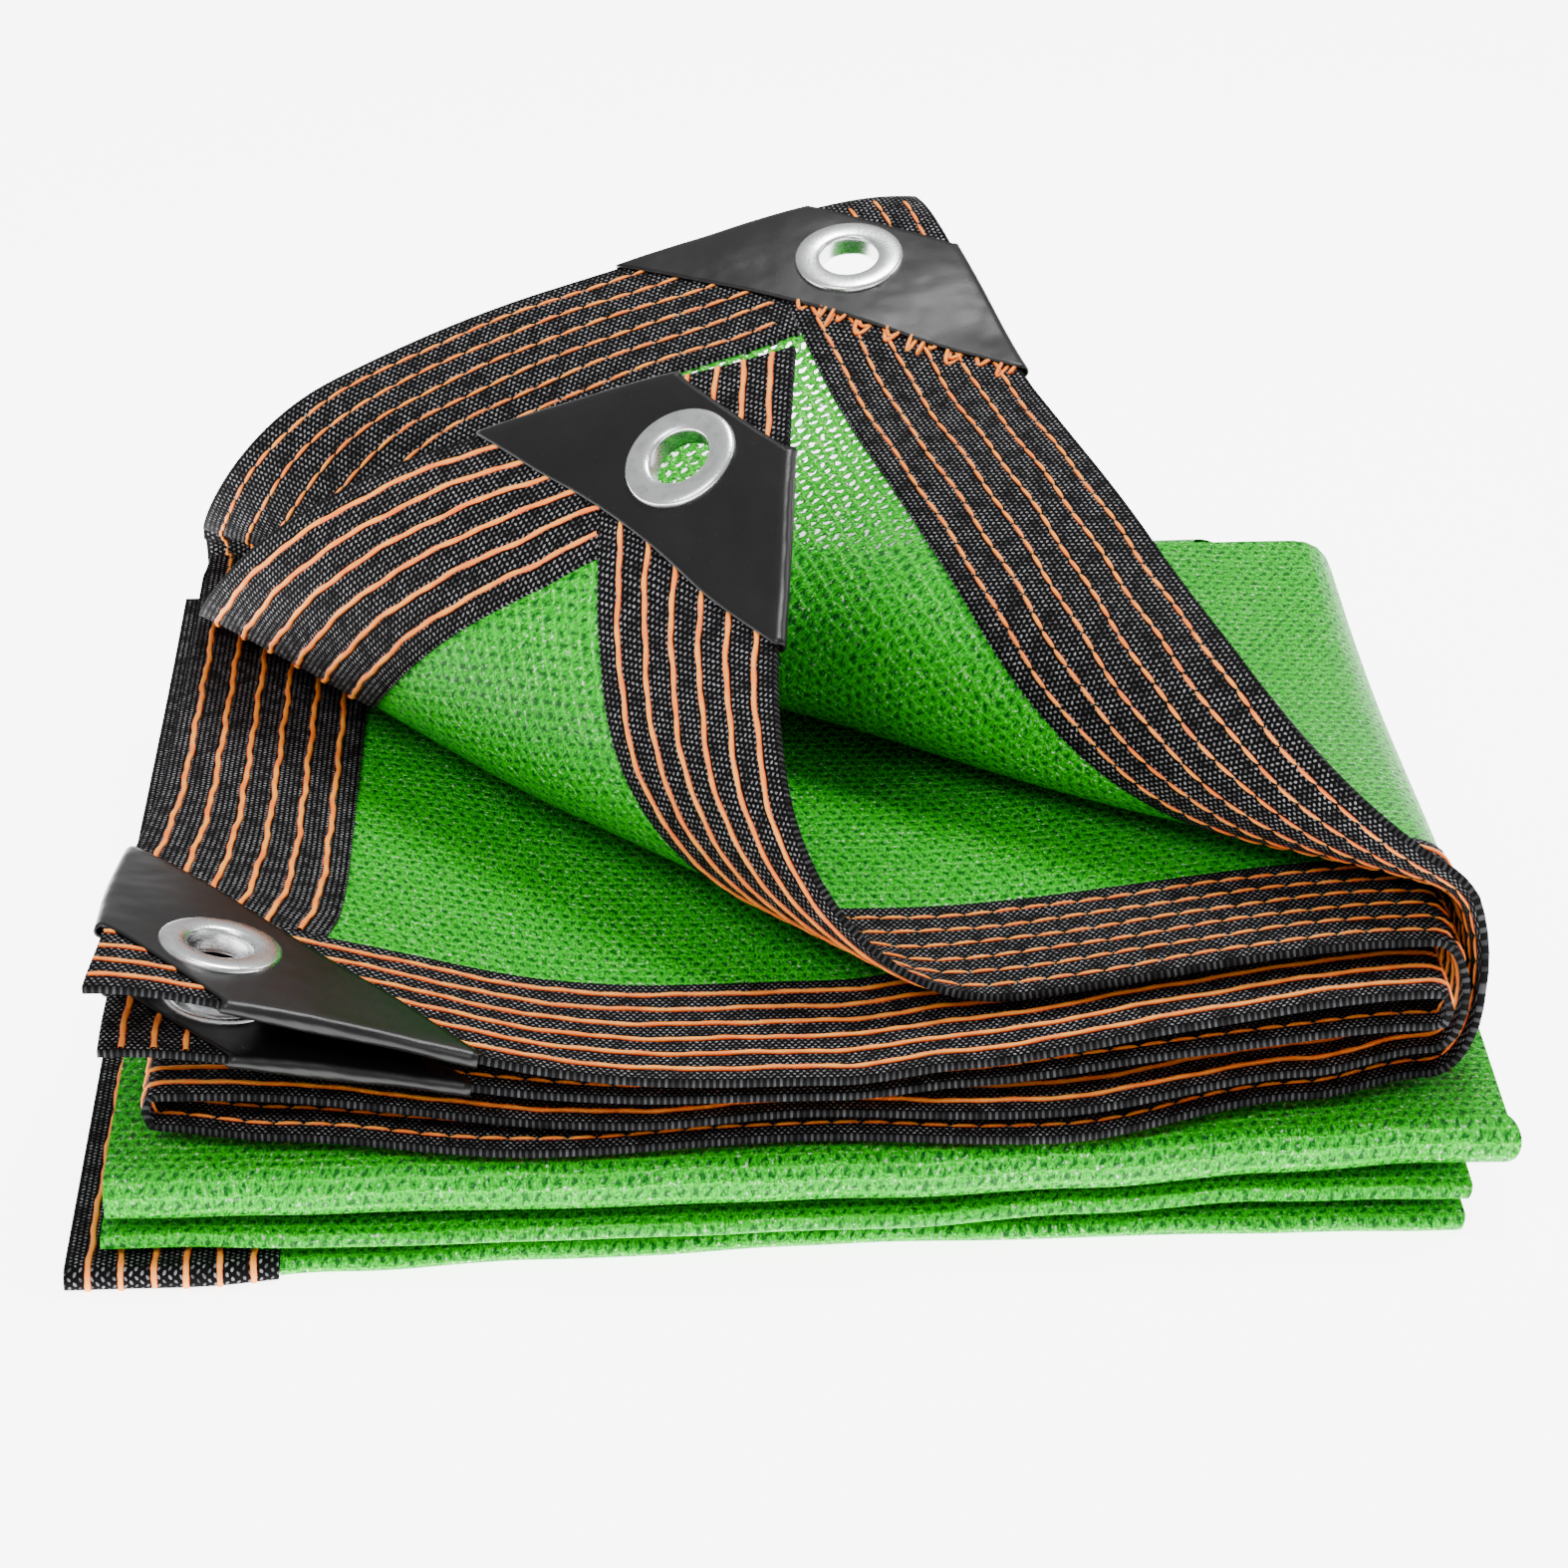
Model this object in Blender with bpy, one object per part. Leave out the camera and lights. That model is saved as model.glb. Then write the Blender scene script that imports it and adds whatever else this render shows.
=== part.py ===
"""Folded shade cloth: one green knit sheet with black edge tapes, corner patches and eyelets.

The sheet lies folded into a packet. Two of its corners are rolled back over the packet.
All sizes below are in millimetres; the meshes are written in metres.
X runs along the front edge to the right, Y to the back, Z up from the floor.
"""
import math

import bmesh
import bpy
import numpy as np
from mathutils import Matrix, Vector

MM = 0.001

# thickness of each material and the air left between pieces
CLOTH_T = 1.6
TAPE_T = 1.8
TAPE_W = 40.0
PATCH_T = 0.7
GAP = 0.3
JOIN = 0.7
PATCH_AIR = 0.4

# where the plies of the upper packet turn round at its right and left ends
TURN_RIGHT = 123.0
TURN_LEFT = -121.0

# the six plies of the upper packet, before the soft lift
# name: height, left edge, front edge (left, right), back edge (left, right),
#       ply met at the right turn, ply met at the left turn
PLIES = {
    "a": (41.8, -126.7, -85.6, -106.0, 116.0, 116.0, "f", None),
    "b": (38.6, -124.9, -105.4, -108.0, 112.0, 112.0, "e", None),
    "c": (34.8, -127.0, -118.0, -116.0, 112.0, 112.0, "d", None),
    "d": (31.2, -131.0, -120.0, -116.0, 112.0, 112.0, "c", None),
    "e": (26.4, TURN_LEFT, -120.0, -108.0, 112.0, 112.0, "b", "f"),
    "f": (23.0, TURN_LEFT, -120.0, -106.0, 112.0, 116.0, "a", "e"),
}

# how the front edge of each ply wanders between its ends: rows of (x, y)
FRONTS = {
    "a": ((10.0, -85.6),),
    "b": ((10.0, -105.4),),
    "c": ((-80.0, -119.5), (-25.0, -128.5), (8.0, -127.5), (32.0, -122.5), (75.0, -119.0)),
    "d": ((-80.0, -121.0), (-25.0, -127.0), (8.0, -126.0), (32.0, -122.0), (75.0, -119.0)),
    "e": ((-100.0, -119.0), (-30.0, -127.0), (4.0, -122.5), (48.0, -125.5), (98.0, -116.0)),
    "f": ((-97.0, -124.0), (-50.0, -130.0), (5.0, -125.0), (48.0, -128.0), (98.0, -114.0)),
}

# the two rolled-back corners: where the crease meets the left edge (y) and the front edge (x),
# then rows of (share of the way from crease to tip, steepness in degrees)
FLAPS = {
    "a": (130.4, 159.8, ((0.0, 180.0), (0.28, 59.7), (0.36, 26.8), (0.45, 20.8), (0.6, 10.2),
                         (0.8, 10.2), (1.0, -3.4), (1.3, -5.0))),
    "b": (91.9, 44.5, ((0.0, 180.0), (0.41, 56.7), (0.49, 47.5), (0.6, 28.7), (0.8, 28.7),
                       (1.0, 28.7), (1.3, 27.2))),
}

# soft lift of the upper packet: it grows with height between these two levels
LIFT_FROM = 21.0
LIFT_FULL = 35.0
LIFT_ALL = 2.0
LIFT_LEFT = 11.0
LIFT_RIGHT = 10.0

# corner c curls up and slides to the left, both fading out over this reach
CURL_C = 5.5
SLIDE_C = 6.5
CURL_REACH = 120.0

# corner patch: a band across the corner between two distances u + v from the tip
PATCH_NEAR = 25.0
PATCH_FAR = 70.0
PATCH_RISE = TAPE_T / 2 + PATCH_AIR + PATCH_T / 2

# eyelet: place in the corner, outer and bore radius, barrel wall, flange thickness
EYE_U = 22.0
EYE_V = 23.0
EYE_OUT = 12.0
EYE_BORE = 6.5
EYE_WALL = 1.0
EYE_FLANGE = 0.6
EYE_FLAT = 14.0
EYE_BLEND = 22.0

# lower packet: one back-and-forth run of six plies, top to bottom
# height, y of the turn where the ply ends, left edge (start, end), right edge
LOWER = (
    (21.0, -126.0, PLIES["a"][1] + TAPE_W + JOIN, -130.0, 137.0),
    (11.4, 117.0, -130.0, -131.0, 135.0),
    (9.3, -128.0, -131.0, -131.0, 130.0),
    (6.2, 117.0, -131.0, -131.0, 129.0),
    (4.1, -127.0, -97.4, -97.4, 128.5),
    (0.8, 112.0, -97.4, -97.4, 127.5),
)
LOWER_TAPE_LEFT = -137.7
END_BULGE = 3.0

# how far each fold's front wanders along it: rows of (x, shift)
FOLD_FRONTS = (
    ((-120.0, -3.4), (-50.0, -2.3), (20.0, -0.1), (55.0, 2.3), (90.0, 7.0), (120.0, 10.0)),
    ((-120.0, -4.5), (-85.0, -5.6), (-50.0, -4.3), (20.0, -1.6), (55.0, 2.9), (90.0, 6.4)),
    ((-120.0, -10.0), (-85.0, -6.2), (-50.0, -3.1), (20.0, 1.6), (90.0, 2.7)),
)
BACK_Y = 116.0

# where the middle of the packet's box lies, taken off at the end
MIDDLE_X = 0.70
MIDDLE_Y = -4.85

COLUMNS = 15
EDGE_SHARES = (0.0, 0.08, 0.17, 0.27, 0.37, 0.47, 0.57, 0.67, 0.77, 0.87, 0.95, 1.0)
INNER_SHARES = EDGE_SHARES[::2] + (1.0,)


def smooth(value):
    """Soft step from 0 to 1."""
    t = np.clip(value, 0.0, 1.0)
    return t * t * (3.0 - 2.0 * t)


def eased(x, rows):
    """Value at x from rows of (x, value), with soft steps between the rows."""
    places = [row[0] for row in rows]
    values = np.array([row[1] for row in rows])
    spot = np.interp(x, places, np.arange(len(rows)))
    low = np.minimum(np.floor(spot).astype(int), len(rows) - 2)
    return values[low] + (values[low + 1] - values[low]) * smooth(spot - low)


def lift_at(x, y):
    """Height added to a fully lifted ply at a place on the packet."""
    back = smooth((y + 110.0) / 200.0)
    left = LIFT_LEFT * smooth((-45.0 - x) / 85.0) * (1.0 - 0.65 * back)
    right = LIFT_RIGHT * smooth((x - 20.0) / 100.0) * (1.0 - 0.95 * back)
    wave = 0.7 * np.sin(x / 31.0 + 0.6) * np.cos(y / 57.0)
    return LIFT_ALL + left + right + wave


def lifted(x, y, z):
    """Height of a point after the soft lift."""
    share = np.clip((z - LIFT_FROM) / (LIFT_FULL - LIFT_FROM), 0.0, 1.3)
    return z + lift_at(x, y) * share


class Roll:
    """A corner rolled back about a straight crease."""

    def __init__(self, corner, crease_left, crease_front, rows):
        first = np.array([corner[0], crease_left])
        last = np.array([crease_front, corner[1]])
        along = (last - first) / np.linalg.norm(last - first)
        self.first = first
        self.normal = np.array([-along[1], along[0]])
        reach = np.dot(np.array(corner) - first, self.normal)
        if reach > 0.0:
            self.normal = -self.normal
        self.reach = abs(reach)
        self.steps = np.linspace(0.0, 1.25 * self.reach, 500)
        shares = [row[0] for row in rows]
        angles = [row[1] for row in rows]
        turn = np.radians(np.interp(self.steps / self.reach, shares, angles))
        width = self.steps[1]
        across = 0.5 * (np.cos(turn[1:]) + np.cos(turn[:-1])) * width
        upward = 0.5 * (np.sin(turn[1:]) + np.sin(turn[:-1])) * width
        self.across = np.concatenate([[0.0], np.cumsum(across)])
        self.upward = np.concatenate([[0.0], np.cumsum(upward)])

    def shift(self, x, y):
        """Displacement of a flat point by the roll."""
        past = -((x - self.first[0]) * self.normal[0] + (y - self.first[1]) * self.normal[1])
        past = np.maximum(past, 0.0)
        move = past + np.interp(past, self.steps, self.across)
        rise = np.interp(past, self.steps, self.upward)
        return move * self.normal[0], move * self.normal[1], rise


ROLLS = {}
for key, row in FLAPS.items():
    corner_xy = (PLIES[key][1], PLIES[key][2])
    ROLLS[key] = Roll(corner_xy, row[0], row[1], row[2])


def front_of(name, x):
    """Front edge of a ply at a place along X."""
    row = PLIES[name]
    first = (row[1] - 1.0, row[2])
    last = (TURN_RIGHT, row[3])
    return eased(x, (first,) + FRONTS[name] + (last,))


def back_of(name, x):
    """Back edge of a ply at a place along X."""
    row = PLIES[name]
    return row[4] + (row[5] - row[4]) * smooth((x - 10.0) / (TURN_RIGHT - 10.0))


def turned(x, z, name):
    """Carry a point round the turn at the right or left end of its ply."""
    row = PLIES[name]
    middle = (row[0] + PLIES[row[6]][0]) / 2.0
    radius = abs(row[0] - middle)
    angle = np.clip((x - TURN_RIGHT) / radius, 0.0, math.pi)
    new_x = np.where(x > TURN_RIGHT, TURN_RIGHT + radius * np.sin(angle), x)
    new_z = np.where(x > TURN_RIGHT, middle + (z - middle) * np.cos(angle), z)
    if row[7]:
        middle = (row[0] + PLIES[row[7]][0]) / 2.0
        radius = abs(row[0] - middle)
        angle = np.clip((TURN_LEFT - x) / radius, 0.0, math.pi)
        new_x = np.where(x < TURN_LEFT, TURN_LEFT - radius * np.sin(angle), new_x)
        new_z = np.where(x < TURN_LEFT, middle + (z - middle) * np.cos(angle), new_z)
    return new_x, new_z


def turn_length(name, side):
    """Length from the end of the flat ply to the middle of its turn."""
    row = PLIES[name]
    partner = row[6] if side == "right" else row[7]
    return abs(row[0] - PLIES[partner][0]) / 2.0 * math.pi / 2.0


def ply_raw(name, x, v):
    """Middle surface of a ply: x along the front, v back from its front edge."""
    x = np.asarray(x, float) + 0.0 * np.asarray(v, float)
    v = np.asarray(v, float) + 0.0 * x
    y = front_of(name, x) + v
    new_x, z = turned(x, PLIES[name][0] + 0.0 * x, name)
    z = lifted(new_x, y, z)
    if name == "c":
        reach = (x - PLIES[name][1]) + v
        z = z + CURL_C * smooth(1.0 - reach / CURL_REACH)
        new_x = new_x - SLIDE_C * smooth(1.0 - reach / CURL_REACH)
    if name in ROLLS:
        flat_y = PLIES[name][2] + v
        dx, dy, dz = ROLLS[name].shift(x, flat_y)
        new_x, y, z = new_x + dx, y + dy, z + dz
    return np.stack([new_x, y, z], -1)


def eye_frame(name):
    """Centre and the three axes of the flat spot round an eyelet."""
    x = PLIES[name][1] + EYE_U
    step = 4.0
    centre = ply_raw(name, x, EYE_V)
    along = ply_raw(name, x + step, EYE_V) - ply_raw(name, x - step, EYE_V)
    inward = ply_raw(name, x, EYE_V + step) - ply_raw(name, x, EYE_V - step)
    along = along / np.linalg.norm(along)
    up = np.cross(along, inward)
    up = up / np.linalg.norm(up)
    inward = np.cross(up, along)
    return centre, along, inward, up


EYES = {name: eye_frame(name) for name in "abcd"}


def ply(name, x, v):
    """Middle surface of a ply, pressed flat round its eyelet."""
    point = ply_raw(name, x, v)
    if name not in EYES:
        return point
    centre, along, inward, up = EYES[name]
    x = np.asarray(x, float) + 0.0 * np.asarray(v, float)
    side = x - PLIES[name][1] - EYE_U
    deep = np.asarray(v, float) - EYE_V + 0.0 * x
    off = np.sqrt(side ** 2 + deep ** 2)
    share = smooth((EYE_FLAT + EYE_BLEND - off) / EYE_BLEND)[..., None]
    flat = centre + side[..., None] * along + deep[..., None] * inward
    return point * (1.0 - share) + flat * share


def ply_up(name, x, v):
    """Upward direction of a ply at a place on it."""
    step = 1.0
    along = ply(name, x + step, v) - ply(name, x - step, v)
    inward = ply(name, x, v + step) - ply(name, x, v - step)
    up = np.cross(along, inward)
    return up / np.linalg.norm(up, axis=-1, keepdims=True)


class Skin:
    """Middle surface made of grids that share rows of points."""

    def __init__(self):
        self.points = []
        self.faces = []

    def row(self, points):
        """Add a row of points and give their numbers."""
        first = len(self.points)
        self.points.extend([tuple(p) for p in points])
        return list(range(first, first + len(points)))

    def join(self, rows, closed=False):
        """Add the faces between neighbouring rows of numbers."""
        for one, two in zip(rows[:-1], rows[1:]):
            count = len(one)
            last = count if closed else count - 1
            for i in range(last):
                j = (i + 1) % count
                self.faces.append((one[i], one[j], two[j], two[i]))

    def solid(self, name, thickness):
        """Thicken the surface into one closed body."""
        mesh = bmesh.new()
        verts = [mesh.verts.new(p) for p in self.points]
        for face in self.faces:
            mesh.faces.new([verts[i] for i in face])
        loose = [v for v in mesh.verts if not v.link_faces]
        bmesh.ops.delete(mesh, geom=loose, context="VERTS")
        bmesh.ops.recalc_face_normals(mesh, faces=mesh.faces)
        mesh.normal_update()
        mesh.verts.index_update()
        above = []
        below = []
        for vert in mesh.verts:
            above.append(vert.co + vert.normal * thickness / 2.0)
            below.append(vert.co - vert.normal * thickness / 2.0)
        faces = [[v.index for v in f.verts] for f in mesh.faces]
        rims = []
        for edge in mesh.edges:
            if len(edge.link_faces) == 1:
                loop = edge.link_loops[0]
                rims.append((loop.vert.index, loop.link_loop_next.vert.index))
        mesh.free()
        return closed_body(name, above, below, faces, rims)


def closed_body(name, above, below, faces, rims):
    """Two skins and their rims as one mesh object."""
    count = len(above)
    body = bmesh.new()
    verts = [body.verts.new(Vector(p) * MM) for p in above + below]
    for face in faces:
        body.faces.new([verts[i] for i in face])
        body.faces.new([verts[i + count] for i in reversed(face)])
    for a, b in rims:
        body.faces.new([verts[b], verts[a], verts[a + count], verts[b + count]])
    for face in body.faces:
        face.smooth = True
    data = bpy.data.meshes.new(name)
    body.to_mesh(data)
    body.free()
    item = bpy.data.objects.new(name, data)
    bpy.context.scene.collection.objects.link(item)
    return item


def cylinder(name, centre, axis, radius, length):
    """A hidden round cutter."""
    body = bmesh.new()
    bmesh.ops.create_cone(body, cap_ends=True, segments=24, radius1=radius * MM,
                          radius2=radius * MM, depth=length * MM)
    data = bpy.data.meshes.new(name)
    turn = Vector(axis).to_track_quat("Z", "Y").to_matrix().to_4x4()
    body.transform(Matrix.Translation(Vector(centre) * MM) @ turn)
    body.to_mesh(data)
    body.free()
    item = bpy.data.objects.new(name, data)
    bpy.context.scene.collection.objects.link(item)
    item.hide_render = True
    item.display_type = "WIRE"
    return item


def cut(item, cutter):
    """Take the cutter's volume out of an object."""
    step = item.modifiers.new("hole", "BOOLEAN")
    step.operation = "DIFFERENCE"
    step.solver = "EXACT"
    step.object = cutter
    graph = bpy.context.evaluated_depsgraph_get()
    fresh = bpy.data.meshes.new_from_object(item.evaluated_get(graph))
    item.modifiers.clear()
    item.data = fresh


def flat_stations(name, start, end, count):
    """Places along one ply as (ply, x) pairs."""
    return [(name, x) for x in np.linspace(start, end, count)]


def turn_stations(name, side, count, outward):
    """Places from the end of the flat ply to the middle of its turn."""
    length = turn_length(name, side)
    if side == "right":
        places = TURN_RIGHT + np.linspace(0.0, length, count + 1)[1:]
    else:
        places = TURN_LEFT - np.linspace(0.0, length, count + 1)[1:]
    if not outward:
        places = places[:-1][::-1]
    return [(name, x) for x in places]


def tip_stations(name):
    """Extra places of the front tape between a tip and the left edge of the cloth."""
    left = PLIES[name][1]
    return [(name, left + u) for u in np.linspace(0.0, TAPE_W, 8)]


def ply_places(name):
    """Places along a ply, closer together near its tip."""
    start = PLIES[name][1] + TAPE_W + JOIN
    share = np.linspace(0.0, 1.0, COLUMNS)
    share = 0.55 * share + 0.45 * share ** 2
    return [(name, start + (TURN_RIGHT - start) * part) for part in share]


def long_strand():
    """Stations of the outer strand: plies b, e, f and a with the turns between them."""
    n = COLUMNS
    run = ply_places("b")
    run += turn_stations("b", "right", 3, True)
    run += turn_stations("e", "right", 3, False)
    run += flat_stations("e", TURN_RIGHT, TURN_LEFT, max(6, n // 2))
    run += turn_stations("e", "left", 2, True)
    run += turn_stations("f", "left", 2, False)
    run += flat_stations("f", TURN_LEFT, TURN_RIGHT, max(6, n // 2))
    run += turn_stations("f", "right", 4, True)
    run += turn_stations("a", "right", 4, False)
    run += ply_places("a")[::-1]
    return run


def short_strand():
    """Stations of the inner strand: plies c and d with the turn between them."""
    run = ply_places("c")
    run += turn_stations("c", "right", 2, True)
    run += turn_stations("d", "right", 2, False)
    run += ply_places("d")[::-1]
    return run


def cloth_rows(skin, stations, shares):
    """Rows of the cloth inside the front tape, one per station."""
    rows = []
    start = TAPE_W + JOIN
    for name, x in stations:
        depth = back_of(name, x) - front_of(name, x)
        v = start + (depth - start) * np.array(shares)
        rows.append(skin.row(ply(name, x + 0.0 * v, v)))
    return rows


def arc(first, last, middle_y, bulge, count):
    """Points of a half turn between two points, bulging along Y; both ends are left out."""
    angles = np.linspace(0.0, math.pi, count + 2)[1:-1]
    rows = []
    for angle in angles:
        share = (1.0 - math.cos(angle)) / 2.0
        point = np.array(first) * (1.0 - share) + np.array(last) * share
        point[1] = middle_y + bulge * math.sin(angle)
        rows.append(point)
    return rows


def lower_path():
    """Run of the lower packet as rows of (y, height, left edge, right edge, fold)."""
    path = []
    y = BACK_Y
    for index, (z, end, left_a, left_b, right) in enumerate(LOWER):
        count = 6
        for i in range(count):
            share = i / (count - 1)
            left = left_a + (left_b - left_a) * float(smooth(share * 1.8))
            path.append((y + (end - y) * share, z, left, right, index // 2))
        if index + 1 < len(LOWER):
            below = LOWER[index + 1]
            radius = (z - below[0]) / 2.0
            sign = -1.0 if end < 0.0 else 1.0
            steps = 5 if sign < 0.0 else 3
            for k in range(1, steps + 1):
                angle = math.pi * k / (steps + 1)
                share = (1.0 - math.cos(angle)) / 2.0
                left = left_b + (below[2] - left_b) * share
                wide = right + (below[4] - right) * share
                wide += END_BULGE * math.sin(angle) * (index == 0)
                path.append((end + sign * radius * math.sin(angle),
                             z - 2.0 * radius * share, left, wide, index // 2))
        y = end
    return path


def lower_point(y, z, left, right, fold, share):
    """One point of the lower packet; its front folds wander a little."""
    x = left + (right - left) * share
    front = smooth((-60.0 - y) / 60.0)
    y = y + front * eased(x, FOLD_FRONTS[fold])
    return np.stack([x, y, z + 0.0 * x], -1)


def build_cloth():
    """The green sheet: both strands, the lower packet and the folds at the back."""
    skin = Skin()
    rows = cloth_rows(skin, long_strand(), EDGE_SHARES)
    skin.join(rows)
    inner_rows = cloth_rows(skin, short_strand(), INNER_SHARES)
    skin.join(inner_rows)

    # tight fold at the back between plies b and c
    count = COLUMNS - 1
    top = [rows[i][-1] for i in range(count)]
    low = [inner_rows[i][-1] for i in range(count)]
    middle = [[], []]
    for i in range(count):
        first = skin.points[top[i]]
        last = skin.points[low[i]]
        bulge = abs(first[2] - last[2]) / 2.0
        for k, point in enumerate(arc(first, last, first[1], bulge, 2)):
            middle[k].append(point)
    skin.join([top, skin.row(middle[0]), skin.row(middle[1]), low])

    # wide turn at the back from ply a down to the lower packet
    top = [rows[-1 - i][-1] for i in range(count)]
    share = np.linspace(0.0, 1.0, count)
    path = lower_path()
    turn = []
    start_z = PLIES["a"][0]
    end_z = LOWER[0][0]
    radius = (start_z - end_z) / 2.0
    first_x = np.array([skin.points[i][0] for i in top])
    last_x = lower_point(*path[0], share)[:, 0]
    steps = 7
    for k in range(1, steps + 1):
        angle = math.pi * k / (steps + 1)
        part = (1.0 - math.cos(angle)) / 2.0
        x = first_x * (1.0 - part) + last_x * part
        y_now = BACK_Y + radius * math.sin(angle) + 0.0 * x
        z_now = start_z - 2.0 * radius * part + 0.0 * x
        turn.append(skin.row(np.stack([x, y_now, lifted(x, y_now, z_now)], -1)))
    lower = [skin.row(lower_point(*row, share)) for row in path]
    skin.join([top] + turn + lower)
    return skin.solid("cloth", CLOTH_T)


def build_front_tape(name, stations):
    """Edge tape along the front of one strand, running out to both tips."""
    skin = Skin()
    rows = []
    for key, x in stations:
        v = np.linspace(0.0, TAPE_W, 5)
        rows.append(skin.row(ply(key, x + 0.0 * v, v)))
    skin.join(rows)
    return skin.solid(name, TAPE_T)


def side_rows(skin, name, shares, flip):
    """Rows of a left edge tape from the front tape to the back edge of its ply."""
    left = PLIES[name][1]
    u = np.linspace(0.0, TAPE_W, 5)
    start = TAPE_W + JOIN
    depth = back_of(name, left + u) - front_of(name, left + u)
    rows = []
    for share in shares:
        v = start + (depth - start) * share
        rows.append(skin.row(ply(name, left + u, v)))
    return rows[::-1] if flip else rows


def build_left_tape_bc():
    """Left tape of plies b and c, one strip round the tight back fold."""
    skin = Skin()
    first = side_rows(skin, "b", EDGE_SHARES, False)
    second = side_rows(skin, "c", INNER_SHARES, True)
    middle = [[], []]
    for a, b in zip(first[-1], second[0]):
        start = skin.points[a]
        end = skin.points[b]
        bulge = abs(start[2] - end[2]) / 2.0
        for k, point in enumerate(arc(start, end, start[1], bulge, 2)):
            middle[k].append(point)
    skin.join(first + [skin.row(middle[0]), skin.row(middle[1])] + second)
    return skin.solid("tape_left_bc", TAPE_T)


def build_left_tape_a():
    """Left tape of ply a, carried down round the wide back turn."""
    skin = Skin()
    rows = side_rows(skin, "a", EDGE_SHARES, False)
    start_z = PLIES["a"][0]
    radius = (start_z - LOWER[0][0]) / 2.0
    left = PLIES["a"][1]
    x = left + np.linspace(0.0, TAPE_W, 5)
    for k in range(1, 8):
        angle = math.pi * k / 8
        part = (1.0 - math.cos(angle)) / 2.0
        y_now = BACK_Y + radius * math.sin(angle) + 0.0 * x
        z_now = start_z - 2.0 * radius * part + 0.0 * x
        rows.append(skin.row(np.stack([x, y_now, lifted(x, y_now, z_now)], -1)))
    skin.join(rows)
    return skin.solid("tape_left_a", TAPE_T)


def build_left_tape_d():
    """Left tape of ply d."""
    skin = Skin()
    skin.join(side_rows(skin, "d", INNER_SHARES, False))
    return skin.solid("tape_left_d", TAPE_T)


def build_base_tape():
    """Left tape of the lowest fold, round its front."""
    skin = Skin()
    path = lower_path()
    right = LOWER[-1][2] - JOIN
    top = LOWER[4][0]
    kept = [row for row in path if row[1] <= top + 0.01 and row[2] > right and row[0] < 116.0]
    first = (110.0,) + kept[0][1:]
    rows = []
    share = np.linspace(0.0, 1.0, 5)
    for row in [first] + kept:
        place = (row[0], row[1], LOWER_TAPE_LEFT, right, row[4])
        rows.append(skin.row(lower_point(*place, share)))
    skin.join(rows)
    return skin.solid("tape_left_base", CLOTH_T)


def build_patch(name):
    """Corner patch: a sleeve across the corner, folded round both outer edges."""
    skin = Skin()
    left = PLIES[name][1]
    rise = PATCH_RISE
    rows = []
    for near in np.linspace(PATCH_NEAR, PATCH_FAR, 7):
        loop = []
        shares = np.linspace(0.0, 1.0, 8)
        for share in shares:
            loop.append((near * (1.0 - share), near * share, rise))
        for angle in (45.0, 90.0, 135.0):
            out = rise * math.sin(math.radians(angle))
            loop.append((-out, near, rise * math.cos(math.radians(angle))))
        for share in shares[::-1]:
            loop.append((near * (1.0 - share), near * share, -rise))
        for angle in (135.0, 90.0, 45.0):
            out = rise * math.sin(math.radians(angle))
            loop.append((near, -out, rise * math.cos(math.radians(angle))))
        u = np.array([p[0] for p in loop])
        v = np.array([p[1] for p in loop])
        h = np.array([p[2] for p in loop])
        point = ply(name, left + u, v) + h[:, None] * ply_up(name, left + u, v)
        rows.append(skin.row(point))
    skin.join(rows, closed=True)
    return skin.solid("patch_" + name, PATCH_T)


def build_eyelet(name):
    """Turned metal ring: a barrel with a flange on each face."""
    centre, along, inward, up = EYES[name]
    inner = PATCH_RISE + PATCH_T / 2.0 + GAP
    outer = inner + EYE_FLANGE
    barrel = EYE_BORE + EYE_WALL
    half = [
        (EYE_BORE, outer - 0.5),
        (EYE_BORE + 0.6, outer),
        (EYE_OUT - 0.5, outer),
        (EYE_OUT, inner + 0.25),
        (EYE_OUT - 0.2, inner),
        (barrel, inner),
    ]
    profile = half + [(r, -h) for r, h in reversed(half)]
    segments = 24
    body = bmesh.new()
    rings = []
    for k in range(segments):
        angle = 2.0 * math.pi * k / segments
        side = np.cos(angle) * along + np.sin(angle) * inward
        ring = [body.verts.new(Vector(centre + r * side + h * up) * MM) for r, h in profile]
        rings.append(ring)
    count = len(profile)
    for k in range(segments):
        one = rings[k]
        two = rings[(k + 1) % segments]
        for i in range(count):
            j = (i + 1) % count
            body.faces.new([one[i], one[j], two[j], two[i]])
    bmesh.ops.recalc_face_normals(body, faces=body.faces)
    for face in body.faces:
        face.smooth = False
    data = bpy.data.meshes.new("eyelet_" + name)
    body.to_mesh(data)
    body.free()
    item = bpy.data.objects.new("eyelet_" + name, data)
    bpy.context.scene.collection.objects.link(item)
    return item


def outward(item):
    """Make every face of a closed body look outward."""
    body = bmesh.new()
    body.from_mesh(item.data)
    bmesh.ops.remove_doubles(body, verts=body.verts, dist=1e-6)
    bmesh.ops.recalc_face_normals(body, faces=body.faces)
    if body.calc_volume(signed=True) < 0.0:
        bmesh.ops.reverse_faces(body, faces=body.faces)
    body.to_mesh(item.data)
    body.free()


def paint(item, title, color, roughness, metallic):
    """Give an object its own plain material."""
    material = bpy.data.materials.new(title)
    material.use_nodes = True
    shader = material.node_tree.nodes["Principled BSDF"]
    shader.inputs["Base Color"].default_value = (*color, 1.0)
    shader.inputs["Roughness"].default_value = roughness
    shader.inputs["Metallic"].default_value = metallic
    item.data.materials.clear()
    item.data.materials.append(material)


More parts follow.
